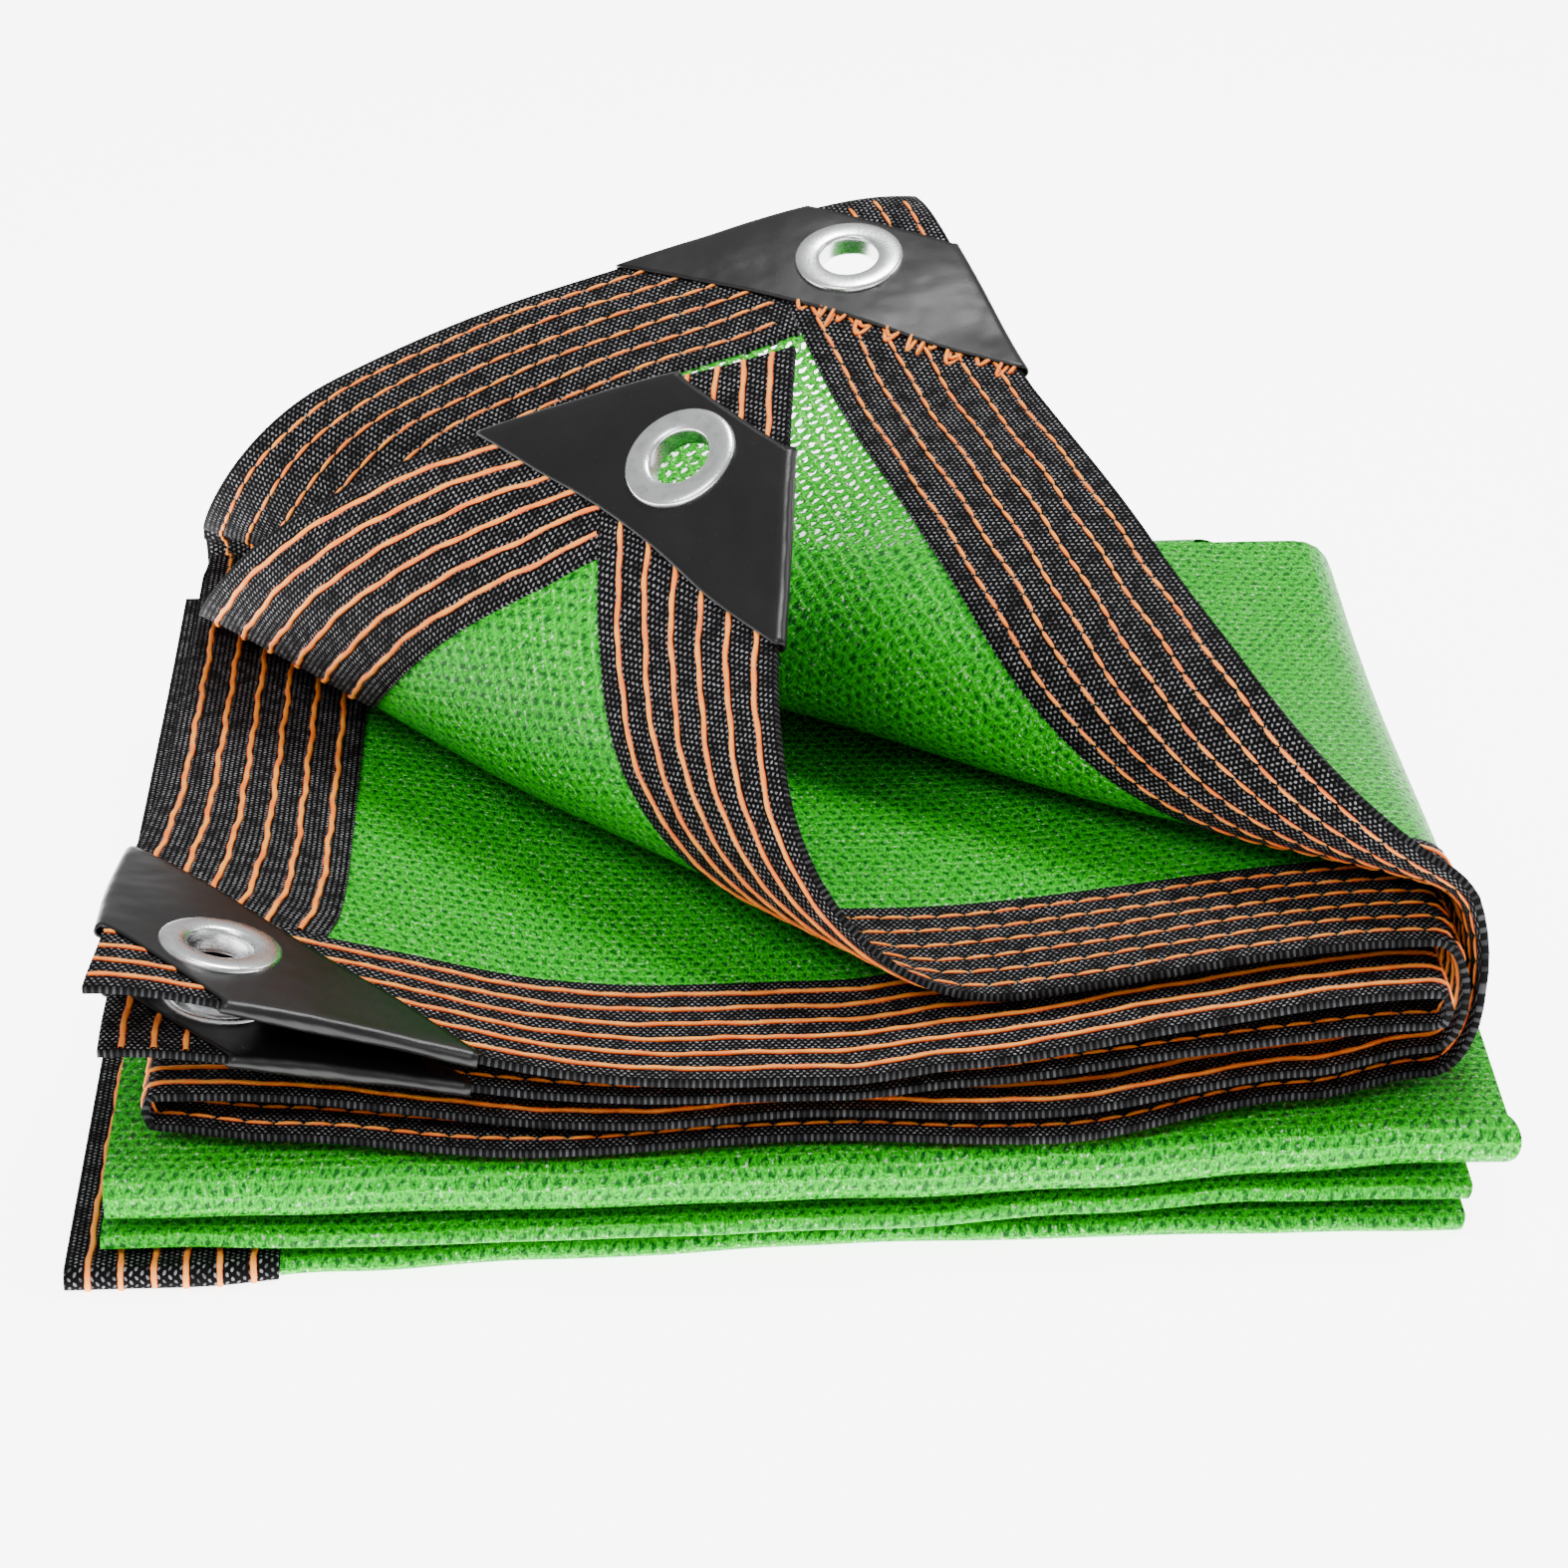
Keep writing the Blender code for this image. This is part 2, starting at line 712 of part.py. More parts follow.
def main():
    """Build every piece, punch the eyelet holes and paint."""
    for old in list(bpy.data.objects):
        bpy.data.objects.remove(old, do_unlink=True)
    cloth = build_cloth()
    tapes = [
        build_front_tape("tape_front_ab",
                         tip_stations("b") + long_strand() + tip_stations("a")[::-1]),
        build_front_tape("tape_front_cd",
                         tip_stations("c") + short_strand() + tip_stations("d")[::-1]),
        build_left_tape_a(),
        build_left_tape_bc(),
        build_left_tape_d(),
        build_base_tape(),
    ]
    patches = {name: build_patch(name) for name in "abcd"}
    eyelets = [build_eyelet(name) for name in "abcd"]
    for item in [cloth] + tapes + list(patches.values()) + eyelets:
        outward(item)
    holders = {"a": tapes[0], "b": tapes[0], "c": tapes[1], "d": tapes[1]}
    cutters = []
    for name, patch in patches.items():
        centre, along, inward, up = EYES[name]
        cutter = cylinder("cutter_" + name, centre, up, EYE_BORE + EYE_WALL + GAP, 7.0)
        cut(patch, cutter)
        cut(holders[name], cutter)
        cutters.append(cutter)
    for cutter in cutters:
        bpy.data.objects.remove(cutter, do_unlink=True)
    for item in [cloth] + tapes + list(patches.values()) + eyelets:
        item.data.transform(Matrix.Translation((-MIDDLE_X * MM, -MIDDLE_Y * MM, 0.0)))
    paint(cloth, "knit_green", (0.02, 0.42, 0.02), 0.45, 0.0)
    for tape in tapes:
        paint(tape, tape.name + "_black", (0.02, 0.02, 0.022), 0.75, 0.0)
    for patch in patches.values():
        paint(patch, patch.name + "_black", (0.012, 0.012, 0.014), 0.35, 0.0)
    for eyelet in eyelets:
        paint(eyelet, eyelet.name + "_metal", (0.72, 0.73, 0.75), 0.3, 1.0)


main()
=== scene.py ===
"""Looks of a folded green shade cloth with black edge tapes, corner patches and eyelets."""
import logging
import math
from dataclasses import dataclass, field, replace
from enum import Enum

import bpy
import numpy as np
from bpy.types import Material, Object
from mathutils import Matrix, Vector


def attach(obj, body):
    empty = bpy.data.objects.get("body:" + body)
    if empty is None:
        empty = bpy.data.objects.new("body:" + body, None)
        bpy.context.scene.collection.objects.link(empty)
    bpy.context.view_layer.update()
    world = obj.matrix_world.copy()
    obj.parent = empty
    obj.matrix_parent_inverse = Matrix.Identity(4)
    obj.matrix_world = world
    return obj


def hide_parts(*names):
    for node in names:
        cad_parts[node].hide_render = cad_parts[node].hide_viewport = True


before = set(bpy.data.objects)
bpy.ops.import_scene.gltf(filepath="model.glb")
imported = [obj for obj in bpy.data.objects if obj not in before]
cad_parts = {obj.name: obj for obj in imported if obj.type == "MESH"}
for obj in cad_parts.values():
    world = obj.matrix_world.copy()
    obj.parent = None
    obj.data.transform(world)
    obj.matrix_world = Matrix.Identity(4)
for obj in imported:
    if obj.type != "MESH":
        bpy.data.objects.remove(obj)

logging.basicConfig(level=logging.INFO, format="%(message)s")
log = logging.getLogger("shade_cloth")

Array = np.ndarray
Table = tuple[tuple[float, float], ...]
Triple = tuple[float, float, float]

# A millimetre in metres, a distance in millimetres beyond every piece, and the least length
# that a vector is divided by.
MM = 0.001
FAR = 1e3
TINY = 1e-9


def smooth(value: Array) -> Array:
    """Give a soft step from 0 to 1."""
    t = np.clip(value, 0.0, 1.0)
    return t * t * (3.0 - 2.0 * t)


def eased(x: Array, rows: Table) -> Array:
    """Give values at x from a table, with soft steps between its rows.

    Args:
        x: Places.
        rows: Rows of place and value.

    Returns:
        The values.
    """
    places = [row[0] for row in rows]
    values = np.array([row[1] for row in rows])
    spot = np.interp(x, places, np.arange(len(rows)))
    low = np.minimum(np.floor(spot).astype(int), len(rows) - 2)
    return values[low] + (values[low + 1] - values[low]) * smooth(spot - low)


def unit(vectors: Array) -> Array:
    """Scale vectors to length one along their last axis."""
    return vectors / np.maximum(np.linalg.norm(vectors, axis=-1, keepdims=True), TINY)


def turn_share(angle: float) -> float:
    """Give how far a half turn has come at an angle, from 0 to 1."""
    return (1.0 - math.cos(angle)) / 2.0


def lengths_along(line: Array) -> Array:
    """Give the length along a line at each of its points."""
    steps = np.linalg.norm(np.diff(line, axis=0), axis=1)
    return np.concatenate([[0.0], np.cumsum(steps)])


def pair(x: Array | float, v: Array | float) -> list[Array]:
    """Give both values as arrays of one shape."""
    return np.broadcast_arrays(np.asarray(x, float), np.asarray(v, float))


def flat_row(along: Array | float, across: Array | float) -> Array:
    """Give one row of places on the flat sheet."""
    return np.stack(np.broadcast_arrays(along, across), -1)


def half_gap(first: Array, last: Array) -> Array:
    """Give half the difference in height between two rows of points."""
    return np.abs(first[:, 2] - last[:, 2]) / 2.0


def fold_row(first: Array, last: Array, angle: float) -> Array:
    """Give one row of a tight half turn at the back.

    Args:
        first: The points where the turn starts.
        last: The points where it ends.
        angle: How far round the row lies.

    Returns:
        The row's points.
    """
    part = turn_share(angle)
    points = first * (1.0 - part) + last * part
    points[:, 1] += half_gap(first, last) * math.sin(angle)
    return points


def declare(item: Object, node: str = "") -> None:
    """Say what a piece is in the frame.

    Args:
        item: The piece.
        node: The solid that it stands for, if any.
    """
    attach(item, "root")
    if node:
        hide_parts(node)


class Side(Enum):
    """The end of the packet at which a ply turns round, as its direction along x."""

    RIGHT = 1.0
    LEFT = -1.0


@dataclass(frozen=True)
class PlyRow:
    """One ply of the upper packet, in millimetres."""

    height: float
    left: float
    front_left: float
    front_right: float
    back_left: float
    back_right: float
    right_mate: str
    left_mate: str = ""


@dataclass(frozen=True)
class FlapRow:
    """A rolled-back corner: its crease and how steep it stands along the way to the tip."""

    crease_left: float
    crease_front: float
    steps: Table


class Roll:
    """A flat corner rolled back about a straight crease."""

    overrun = 1.25
    samples = 900

    def __init__(self, corner: tuple[float, float], row: FlapRow) -> None:
        """Work out the rolled section.

        Args:
            corner: Flat place of the tip, x and y.
            row: The crease and the steepness table.
        """
        first = np.array([corner[0], row.crease_left])
        last = np.array([row.crease_front, corner[1]])
        along = unit(last - first)
        normal = np.array([-along[1], along[0]])
        reach = float(np.dot(np.array(corner) - first, normal))
        self.first = first
        self.normal = -normal if reach > 0.0 else normal
        self.reach = abs(reach)
        self.steps = np.linspace(0.0, self.overrun * self.reach, self.samples)
        shares = [step[0] for step in row.steps]
        angles = [step[1] for step in row.steps]
        turn = np.radians(np.interp(self.steps / self.reach, shares, angles))
        width = self.steps[1]
        across = 0.5 * (np.cos(turn[1:]) + np.cos(turn[:-1])) * width
        upward = 0.5 * (np.sin(turn[1:]) + np.sin(turn[:-1])) * width
        self.across = np.concatenate([[0.0], np.cumsum(across)])
        self.upward = np.concatenate([[0.0], np.cumsum(upward)])

    def shift(self, x: Array, y: Array) -> tuple[Array, Array, Array]:
        """Give the displacement of flat points by the roll.

        Args:
            x: Flat x places.
            y: Flat y places.

        Returns:
            The three parts of the displacement.
        """
        past = -((x - self.first[0]) * self.normal[0] + (y - self.first[1]) * self.normal[1])
        past = np.maximum(past, 0.0)
        move = past + np.interp(past, self.steps, self.across)
        rise = np.interp(past, self.steps, self.upward)
        return move * self.normal[0], move * self.normal[1], rise


@dataclass
class Packet:
    """Shape of the whole fold: plies, turns, rolled corners and the lower packet."""

    middle_x: float = 0.70
    middle_y: float = -4.85
    turn_right: float = 123.0
    turn_left: float = -121.0
    tape_width: float = 40.0
    lift_from: float = 21.0
    lift_full: float = 35.0
    lift_all: float = 2.0
    lift_left: float = 11.0
    lift_right: float = 10.0
    lift_cap: float = 1.3
    front_y: float = -110.0
    depth: float = 200.0
    left_from: float = -45.0
    left_reach: float = 85.0
    left_fade: float = 0.65
    right_from: float = 20.0
    right_reach: float = 100.0
    right_fade: float = 0.95
    wave_height: float = 0.7
    wave_x: float = 31.0
    wave_y: float = 57.0
    wave_phase: float = 0.6
    back_from: float = 10.0
    corners: str = "abcd"
    curl_rise: float = 5.5
    curl_slide: float = 6.5
    curl_reach: float = 120.0
    eye_u: float = 22.0
    eye_v: float = 23.0
    eye_flat: float = 14.0
    eye_blend: float = 22.0
    eye_step: float = 4.0
    up_step: float = 0.8
    back_y: float = 116.0
    plies: dict[str, PlyRow] = field(default_factory=lambda: {
        "a": PlyRow(41.8, -126.7, -85.6, -106.0, 116.0, 116.0, "f"),
        "b": PlyRow(38.6, -124.9, -105.4, -108.0, 112.0, 112.0, "e"),
        "c": PlyRow(34.8, -127.0, -118.0, -116.0, 112.0, 112.0, "d"),
        "d": PlyRow(31.2, -131.0, -120.0, -116.0, 112.0, 112.0, "c"),
        "e": PlyRow(26.4, -121.0, -120.0, -108.0, 112.0, 112.0, "b", "f"),
        "f": PlyRow(23.0, -121.0, -120.0, -106.0, 112.0, 116.0, "a", "e"),
    })
    fronts: dict[str, Table] = field(default_factory=lambda: {
        "a": ((10.0, -85.6),),
        "b": ((10.0, -105.4),),
        "c": ((-80.0, -119.5), (-25.0, -128.5), (8.0, -127.5), (32.0, -122.5), (75.0, -119.0)),
        "d": ((-80.0, -121.0), (-25.0, -127.0), (8.0, -126.0), (32.0, -122.0), (75.0, -119.0)),
        "e": ((-100.0, -119.0), (-30.0, -127.0), (4.0, -122.5), (48.0, -125.5), (98.0, -116.0)),
        "f": ((-97.0, -124.0), (-50.0, -130.0), (5.0, -125.0), (48.0, -128.0), (98.0, -114.0)),
    })
    flaps: dict[str, FlapRow] = field(default_factory=lambda: {
        "a": FlapRow(130.4, 159.8, ((0.0, 180.0), (0.28, 59.7), (0.36, 26.8), (0.45, 20.8),
                                    (0.6, 10.2), (0.8, 10.2), (1.0, -3.4), (1.3, -5.0))),
        "b": FlapRow(91.9, 44.5, ((0.0, 180.0), (0.41, 56.7), (0.49, 47.5), (0.6, 28.7),
                                  (0.8, 28.7), (1.0, 28.7), (1.3, 27.2))),
    })

    def __post_init__(self) -> None:
        """Prepare the rolls and the flat spots round the eyelets."""
        self.rolls = {}
        for name, row in self.flaps.items():
            ply_row = self.plies[name]
            self.rolls[name] = Roll((ply_row.left, ply_row.front_left), row)
        self.eyes = {name: self.eye_frame(name) for name in self.corners}

    def shift(self) -> Array:
        """Give the middle that is taken off every point, in millimetres."""
        return np.array([self.middle_x, self.middle_y, 0.0])

    def lifted(self, x: Array, y: Array, z: Array) -> Array:
        """Give heights after the soft lift of the upper packet.

        Args:
            x: Places along the front edge.
            y: Places toward the back.
            z: Heights before the lift.

        Returns:
            The lifted heights.
        """
        back = smooth((y - self.front_y) / self.depth)
        left = self.lift_left * smooth((self.left_from - x) / self.left_reach)
        left = left * (1.0 - self.left_fade * back)
        right = self.lift_right * smooth((x - self.right_from) / self.right_reach)
        right = right * (1.0 - self.right_fade * back)
        wave = self.wave_height * np.sin(x / self.wave_x + self.wave_phase)
        wave = wave * np.cos(y / self.wave_y)
        span = self.lift_full - self.lift_from
        share = np.clip((z - self.lift_from) / span, 0.0, self.lift_cap)
        return z + (self.lift_all + left + right + wave) * share

    def front_of(self, name: str, x: Array) -> Array:
        """Give the front edge of a ply.

        Args:
            name: The ply.
            x: Unrolled places along it.

        Returns:
            The y places.
        """
        row = self.plies[name]
        first = (row.left - 1.0, row.front_left)
        last = (self.turn_right, row.front_right)
        return eased(x, (first, *self.fronts[name], last))

    def depth_of(self, name: str, x: Array) -> Array:
        """Give the distance from the front edge of a ply to its back edge.

        Args:
            name: The ply.
            x: Unrolled places along it.

        Returns:
            The distances.
        """
        row = self.plies[name]
        share = smooth((x - self.back_from) / (self.turn_right - self.back_from))
        return row.back_left + (row.back_right - row.back_left) * share - self.front_of(name, x)

    def turn_radius(self, row: PlyRow, side: Side) -> float:
        """Give the radius of a ply's turn at one end."""
        mate = row.right_mate if side is Side.RIGHT else row.left_mate
        return abs(row.height - self.plies[mate].height) / 2.0

    def turned(self, name: str, x: Array) -> tuple[Array, Array]:
        """Carry places along a ply round the turns at its ends.

        Args:
            name: The ply.
            x: Unrolled places along it.

        Returns:
            The x places and heights.
        """
        row = self.plies[name]
        new_x = x
        new_z = np.full(np.shape(x), row.height)
        ends = ((Side.RIGHT, self.turn_right, row.right_mate),
                (Side.LEFT, self.turn_left, row.left_mate))
        for side, end, mate in ends:
            if mate:
                radius = self.turn_radius(row, side)
                middle = (row.height + self.plies[mate].height) / 2.0
                past = (x - end) * side.value
                angle = np.clip(past / radius, 0.0, math.pi)
                height = middle + (row.height - middle) * np.cos(angle)
                new_x = np.where(past > 0.0, end + side.value * radius * np.sin(angle), new_x)
                new_z = np.where(past > 0.0, height, new_z)
        return new_x, new_z

    def raw(self, name: str, x: Array, v: Array) -> Array:
        """Give the middle surface of a ply before its eyelet spot is pressed flat.

        Args:
            name: The ply.
            x: Unrolled places along the front edge.
            v: Distances back from the front edge.

        Returns:
            Points in millimetres, the last axis being x, y, z.
        """
        x, v = pair(x, v)
        y = self.front_of(name, x) + v
        new_x, z = self.turned(name, x)
        z = self.lifted(new_x, y, z)
        row = self.plies[name]
        if name == "c":
            share = smooth(1.0 - (x - row.left + v) / self.curl_reach)
            new_x = new_x - self.curl_slide * share
            z = z + self.curl_rise * share
        if name in self.rolls:
            dx, dy, dz = self.rolls[name].shift(x, row.front_left + v)
            new_x, y, z = new_x + dx, y + dy, z + dz
        return np.stack([new_x, y, z], -1)

    def eye_frame(self, name: str) -> tuple[Array, Array, Array, Array]:
        """Give the centre and axes of the flat spot round an eyelet.

        Args:
            name: The ply whose corner holds it.

        Returns:
            The centre, the direction along the front edge, the one inward, and up.
        """
        x = self.plies[name].left + self.eye_u
        step = self.eye_step
        centre = self.raw(name, x, self.eye_v)
        along = unit(self.raw(name, x + step, self.eye_v) - self.raw(name, x - step, self.eye_v))
        inward = self.raw(name, x, self.eye_v + step) - self.raw(name, x, self.eye_v - step)
        up = unit(np.cross(along, inward))
        return centre, along, np.cross(up, along), up

    def ply(self, name: str, x: Array, v: Array) -> Array:
        """Give the middle surface of a ply.

        Args:
            name: The ply.
            x: Unrolled places along the front edge.
            v: Distances back from the front edge.

        Returns:
            Points in millimetres.
        """
        x, v = pair(x, v)
        point = self.raw(name, x, v)
        if name not in self.eyes:
            return point
        centre, along, inward, _ = self.eyes[name]
        side = (x - self.plies[name].left - self.eye_u)[..., None]
        deep = (v - self.eye_v)[..., None]
        off = np.sqrt(side ** 2 + deep ** 2)
        share = smooth((self.eye_flat + self.eye_blend - off) / self.eye_blend)
        flat = centre + side * along + deep * inward
        return point * (1.0 - share) + flat * share

    def up(self, name: str, x: Array, v: Array) -> Array:
        """Give the upward direction of a ply.

        Args:
            name: The ply.
            x: Unrolled places along the front edge.
            v: Distances back from the front edge.

        Returns:
            Directions of length one.
        """
        step = self.up_step
        along = self.ply(name, x + step, v) - self.ply(name, x - step, v)
        inward = self.ply(name, x, v + step) - self.ply(name, x, v - step)
        return unit(np.cross(along, inward))

    def hole_distance(self, name: str, x: Array, v: Array) -> Array:
        """Give the flat distance from a ply's eyelet, far away where it has none.

        Args:
            name: The ply.
            x: Unrolled places along the front edge.
            v: Distances back from the front edge.

        Returns:
            The distances.
        """
        x, v = pair(x, v)
        if name not in self.eyes:
            return np.full(x.shape, FAR)
        return np.hypot(x - self.plies[name].left - self.eye_u, v - self.eye_v)


@dataclass(frozen=True)
class Station:
    """A place along a strand: the ply, the unrolled x and the length from the strand's start."""

    ply: str
    x: float
    length: float


class Strand:
    """A run of plies joined by the turns between them."""

    def __init__(self, packet: Packet, plies: str, step: float) -> None:
        """Lay stations along the run.

        Args:
            packet: The shape it belongs to.
            plies: Names of the plies in order, starting and ending at a free left edge.
            step: Distance between stations in millimetres.
        """
        self.packet = packet
        self.plies = plies
        self.stations: list[Station] = []
        length = 0.0
        for index, name in enumerate(plies):
            rightward = index % 2 == 0
            ends = self.reach(name)
            start, stop = ends if rightward else ends[::-1]
            count = max(2, int(abs(stop - start) / step))
            for place in np.linspace(start, stop, count + 1)[:-1]:
                self.stations.append(Station(name, float(place), length + abs(place - start)))
            length += abs(stop - start)
        self.stations.append(Station(plies[-1], packet.plies[plies[-1]].left, length))
        self.length = length

    def reach(self, name: str) -> tuple[float, float]:
        """Give the ends of a ply.

        Args:
            name: The ply.

        Returns:
            The unrolled x of its left and right ends.
        """
        packet = self.packet
        row = packet.plies[name]
        quarter = math.pi / 2.0
        right = packet.turn_right + packet.turn_radius(row, Side.RIGHT) * quarter
        left = row.left
        if row.left_mate:
            left = packet.turn_left - packet.turn_radius(row, Side.LEFT) * quarter
        return left, right


class Sheet:
    """A grid of points that becomes a mesh, either single or with a thickness."""

    def __init__(self, points: Array, uv: Array, hole: Array | None = None,
                 wrapped: bool = False) -> None:
        """Keep the grid.

        Args:
            points: Rows by columns by 3, in millimetres.
            uv: Rows by columns by 2, in millimetres along the cloth.
            hole: Distance of each point from an eyelet.
            wrapped: Whether the last column joins the first.
        """
        self.points = points
        self.uv = uv
        self.hole = hole
        self.wrapped = wrapped

    def normals(self) -> Array:
        """Give the grid's normals.

        Returns:
            The rows' direction crossed with the columns' direction.
        """
        down = np.gradient(self.points, axis=0)
        if self.wrapped:
            across = np.roll(self.points, -1, axis=1) - np.roll(self.points, 1, axis=1)
        else:
            across = np.gradient(self.points, axis=1)
        return unit(np.cross(down, across))

    def cells(self, hole_radius: float) -> Array:
        """Give the corner numbers of each face that lies outside the eyelet hole.

        Args:
            hole_radius: Faces nearer to the eyelet than this are left out.

        Returns:
            Faces by four.
        """
        rows, columns = self.points.shape[:2]
        number = np.arange(rows * columns).reshape(rows, columns)
        if self.wrapped:
            number = np.concatenate([number, number[:, :1]], axis=1)
        one = number[:-1, :-1]
        two = number[1:, :-1]
        three = number[1:, 1:]
        four = number[:-1, 1:]
        faces = np.stack([one, two, three, four], -1).reshape(-1, 4)
        if self.hole is not None:
            near = self.hole.reshape(-1)[faces].min(axis=1) < hole_radius
            faces = faces[~near]
        return faces

    def single(self) -> "MeshData":
        """Give the sheet as one layer."""
        return MeshData(self.points.reshape(-1, 3), self.cells(0.0), self.uv.reshape(-1, 2))

    def thick(self, thickness: float, hole_radius: float = 0.0) -> "MeshData":
        """Give the sheet as two layers with closed rims.

        Args:
            thickness: Full thickness in millimetres.
            hole_radius: Faces nearer to an eyelet than this are left out.

        Returns:
            The mesh data.
        """
        normal = self.normals()
        above = (self.points + normal * thickness / 2.0).reshape(-1, 3)
        below = (self.points - normal * thickness / 2.0).reshape(-1, 3)
        faces = self.cells(hole_radius)
        count = len(above)
        edges = {}
        for face in faces:
            for k in range(4):
                a, b = int(face[k]), int(face[(k + 1) % 4])
                if (b, a) in edges:
                    del edges[(b, a)]
                else:
                    edges[(a, b)] = True
        rims = np.array([(b, a, a + count, b + count) for a, b in edges], int).reshape(-1, 4)
        everything = np.concatenate([faces, faces[:, ::-1] + count, rims])
        uv = np.concatenate([self.uv.reshape(-1, 2)] * 2)
        return MeshData(np.concatenate([above, below]), everything, uv)


class GridRows:
    """Rows of a grid, gathered one by one."""

    def __init__(self) -> None:
        """Start without rows."""
        self.points: list[Array] = []
        self.flats: list[Array] = []
        self.holes: list[Array] = []

    def add(self, points: Array, flat: Array, hole: Array | None = None) -> None:
        """Add one row.

        Args:
            points: Its points.
            flat: Their places on the flat sheet.
            hole: Their distances from an eyelet.
        """
        self.points.append(points)
        self.flats.append(flat)
        if hole is not None:
            self.holes.append(hole)

    def sheet(self, wrapped: bool = False) -> Sheet:
        """Give the rows as one grid; wrapped where the last column joins the first."""
        hole = np.array(self.holes) if self.holes else None
        return Sheet(np.array(self.points), np.array(self.flats), hole, wrapped)


@dataclass
class MeshData:
    """Points, faces and flat places of a mesh, in millimetres."""

    points: Array
    faces: Array
    uv: Array

    @staticmethod
    def joined(parts: list["MeshData"]) -> "MeshData":
        """Put several meshes into one.

        Args:
            parts: The meshes.

        Returns:
            The one mesh.
        """
        offset = 0
        faces = []
        for part in parts:
            faces.append(part.faces + offset)
            offset += len(part.points)
        return MeshData(np.concatenate([p.points for p in parts]), np.concatenate(faces),
                        np.concatenate([p.uv for p in parts]))

    def place(self, name: str, packet: Packet, material: Material) -> Object:
        """Make the scene object.

        Args:
            name: The object's name.
            packet: Gives the middle that is taken off.
            material: Its finish.

        Returns:
            The new object.
        """
        mesh = bpy.data.meshes.new(name)
        points = (self.points - packet.shift()) * MM
        sides = self.faces.shape[1]
        mesh.vertices.add(len(points))
        mesh.vertices.foreach_set("co", points.astype(np.float32).ravel())
        mesh.loops.add(self.faces.size)
        mesh.loops.foreach_set("vertex_index", self.faces.astype(np.int32).ravel())
        mesh.polygons.add(len(self.faces))
        starts = np.arange(len(self.faces), dtype=np.int32) * sides
        mesh.polygons.foreach_set("loop_start", starts)
        mesh.polygons.foreach_set("use_smooth", np.ones(len(self.faces), bool))
        mesh.update(calc_edges=True)
        layer = mesh.uv_layers.new(name="flat")
        layer.data.foreach_set("uv", self.uv[self.faces.ravel()].astype(np.float32).ravel())
        mesh.validate()
        mesh.materials.append(material)
        item = bpy.data.objects.new(name, mesh)
        bpy.context.scene.collection.objects.link(item)
        return item


class Socket:
    """A shader value that adds Math nodes as it is used in an expression."""

    def __init__(self, graph: "Graph", link: bpy.types.NodeSocket) -> None:
        """Wrap one output socket."""
        self.graph = graph
        self.link = link

    def apply(self, operation: str, *others: "Socket | float") -> "Socket":
        """Add one Math node on this value and others, and give its result."""
        inputs = dict(enumerate((self, *others)))
        return self.graph.value("ShaderNodeMath", {"operation": operation}, inputs)

    def __add__(self, other: "Socket | float") -> "Socket":
        """Add."""
        return self.apply("ADD", other)

    __radd__ = __add__

    def __sub__(self, other: "Socket | float") -> "Socket":
        """Subtract."""
        return self.apply("SUBTRACT", other)

    def __rsub__(self, other: float) -> "Socket":
        """Subtract from a number."""
        return self.graph.value("ShaderNodeMath", {"operation": "SUBTRACT"}, {0: other, 1: self})

    def __mul__(self, other: "Socket | float") -> "Socket":
        """Multiply."""
        return self.apply("MULTIPLY", other)

    def __truediv__(self, other: "Socket | float") -> "Socket":
        """Divide."""
        return self.apply("DIVIDE", other)

    def __pow__(self, other: float) -> "Socket":
        """Raise to a power."""
        return self.apply("POWER", other)

    def fract(self) -> "Socket":
        """Give the part after the point."""
        return self.apply("FRACT")

    def floor(self) -> "Socket":
        """Give the whole number below."""
        return self.apply("FLOOR")

    def size(self) -> "Socket":
        """Give the value without its sign."""
        return self.apply("ABSOLUTE")

    def sine(self) -> "Socket":
        """Give the sine."""
        return self.apply("SINE")

    def upper(self, other: "Socket | float") -> "Socket":
        """Give the larger of two values."""
        return self.apply("MAXIMUM", other)

    def step(self, start: float, stop: float) -> "Socket":
        """Give a soft step from 0 at start to 1 at stop."""
        inputs = {"Value": self, "From Min": start, "From Max": stop}
        return self.graph.value("ShaderNodeMapRange", {"interpolation_type": "SMOOTHSTEP"}, inputs)


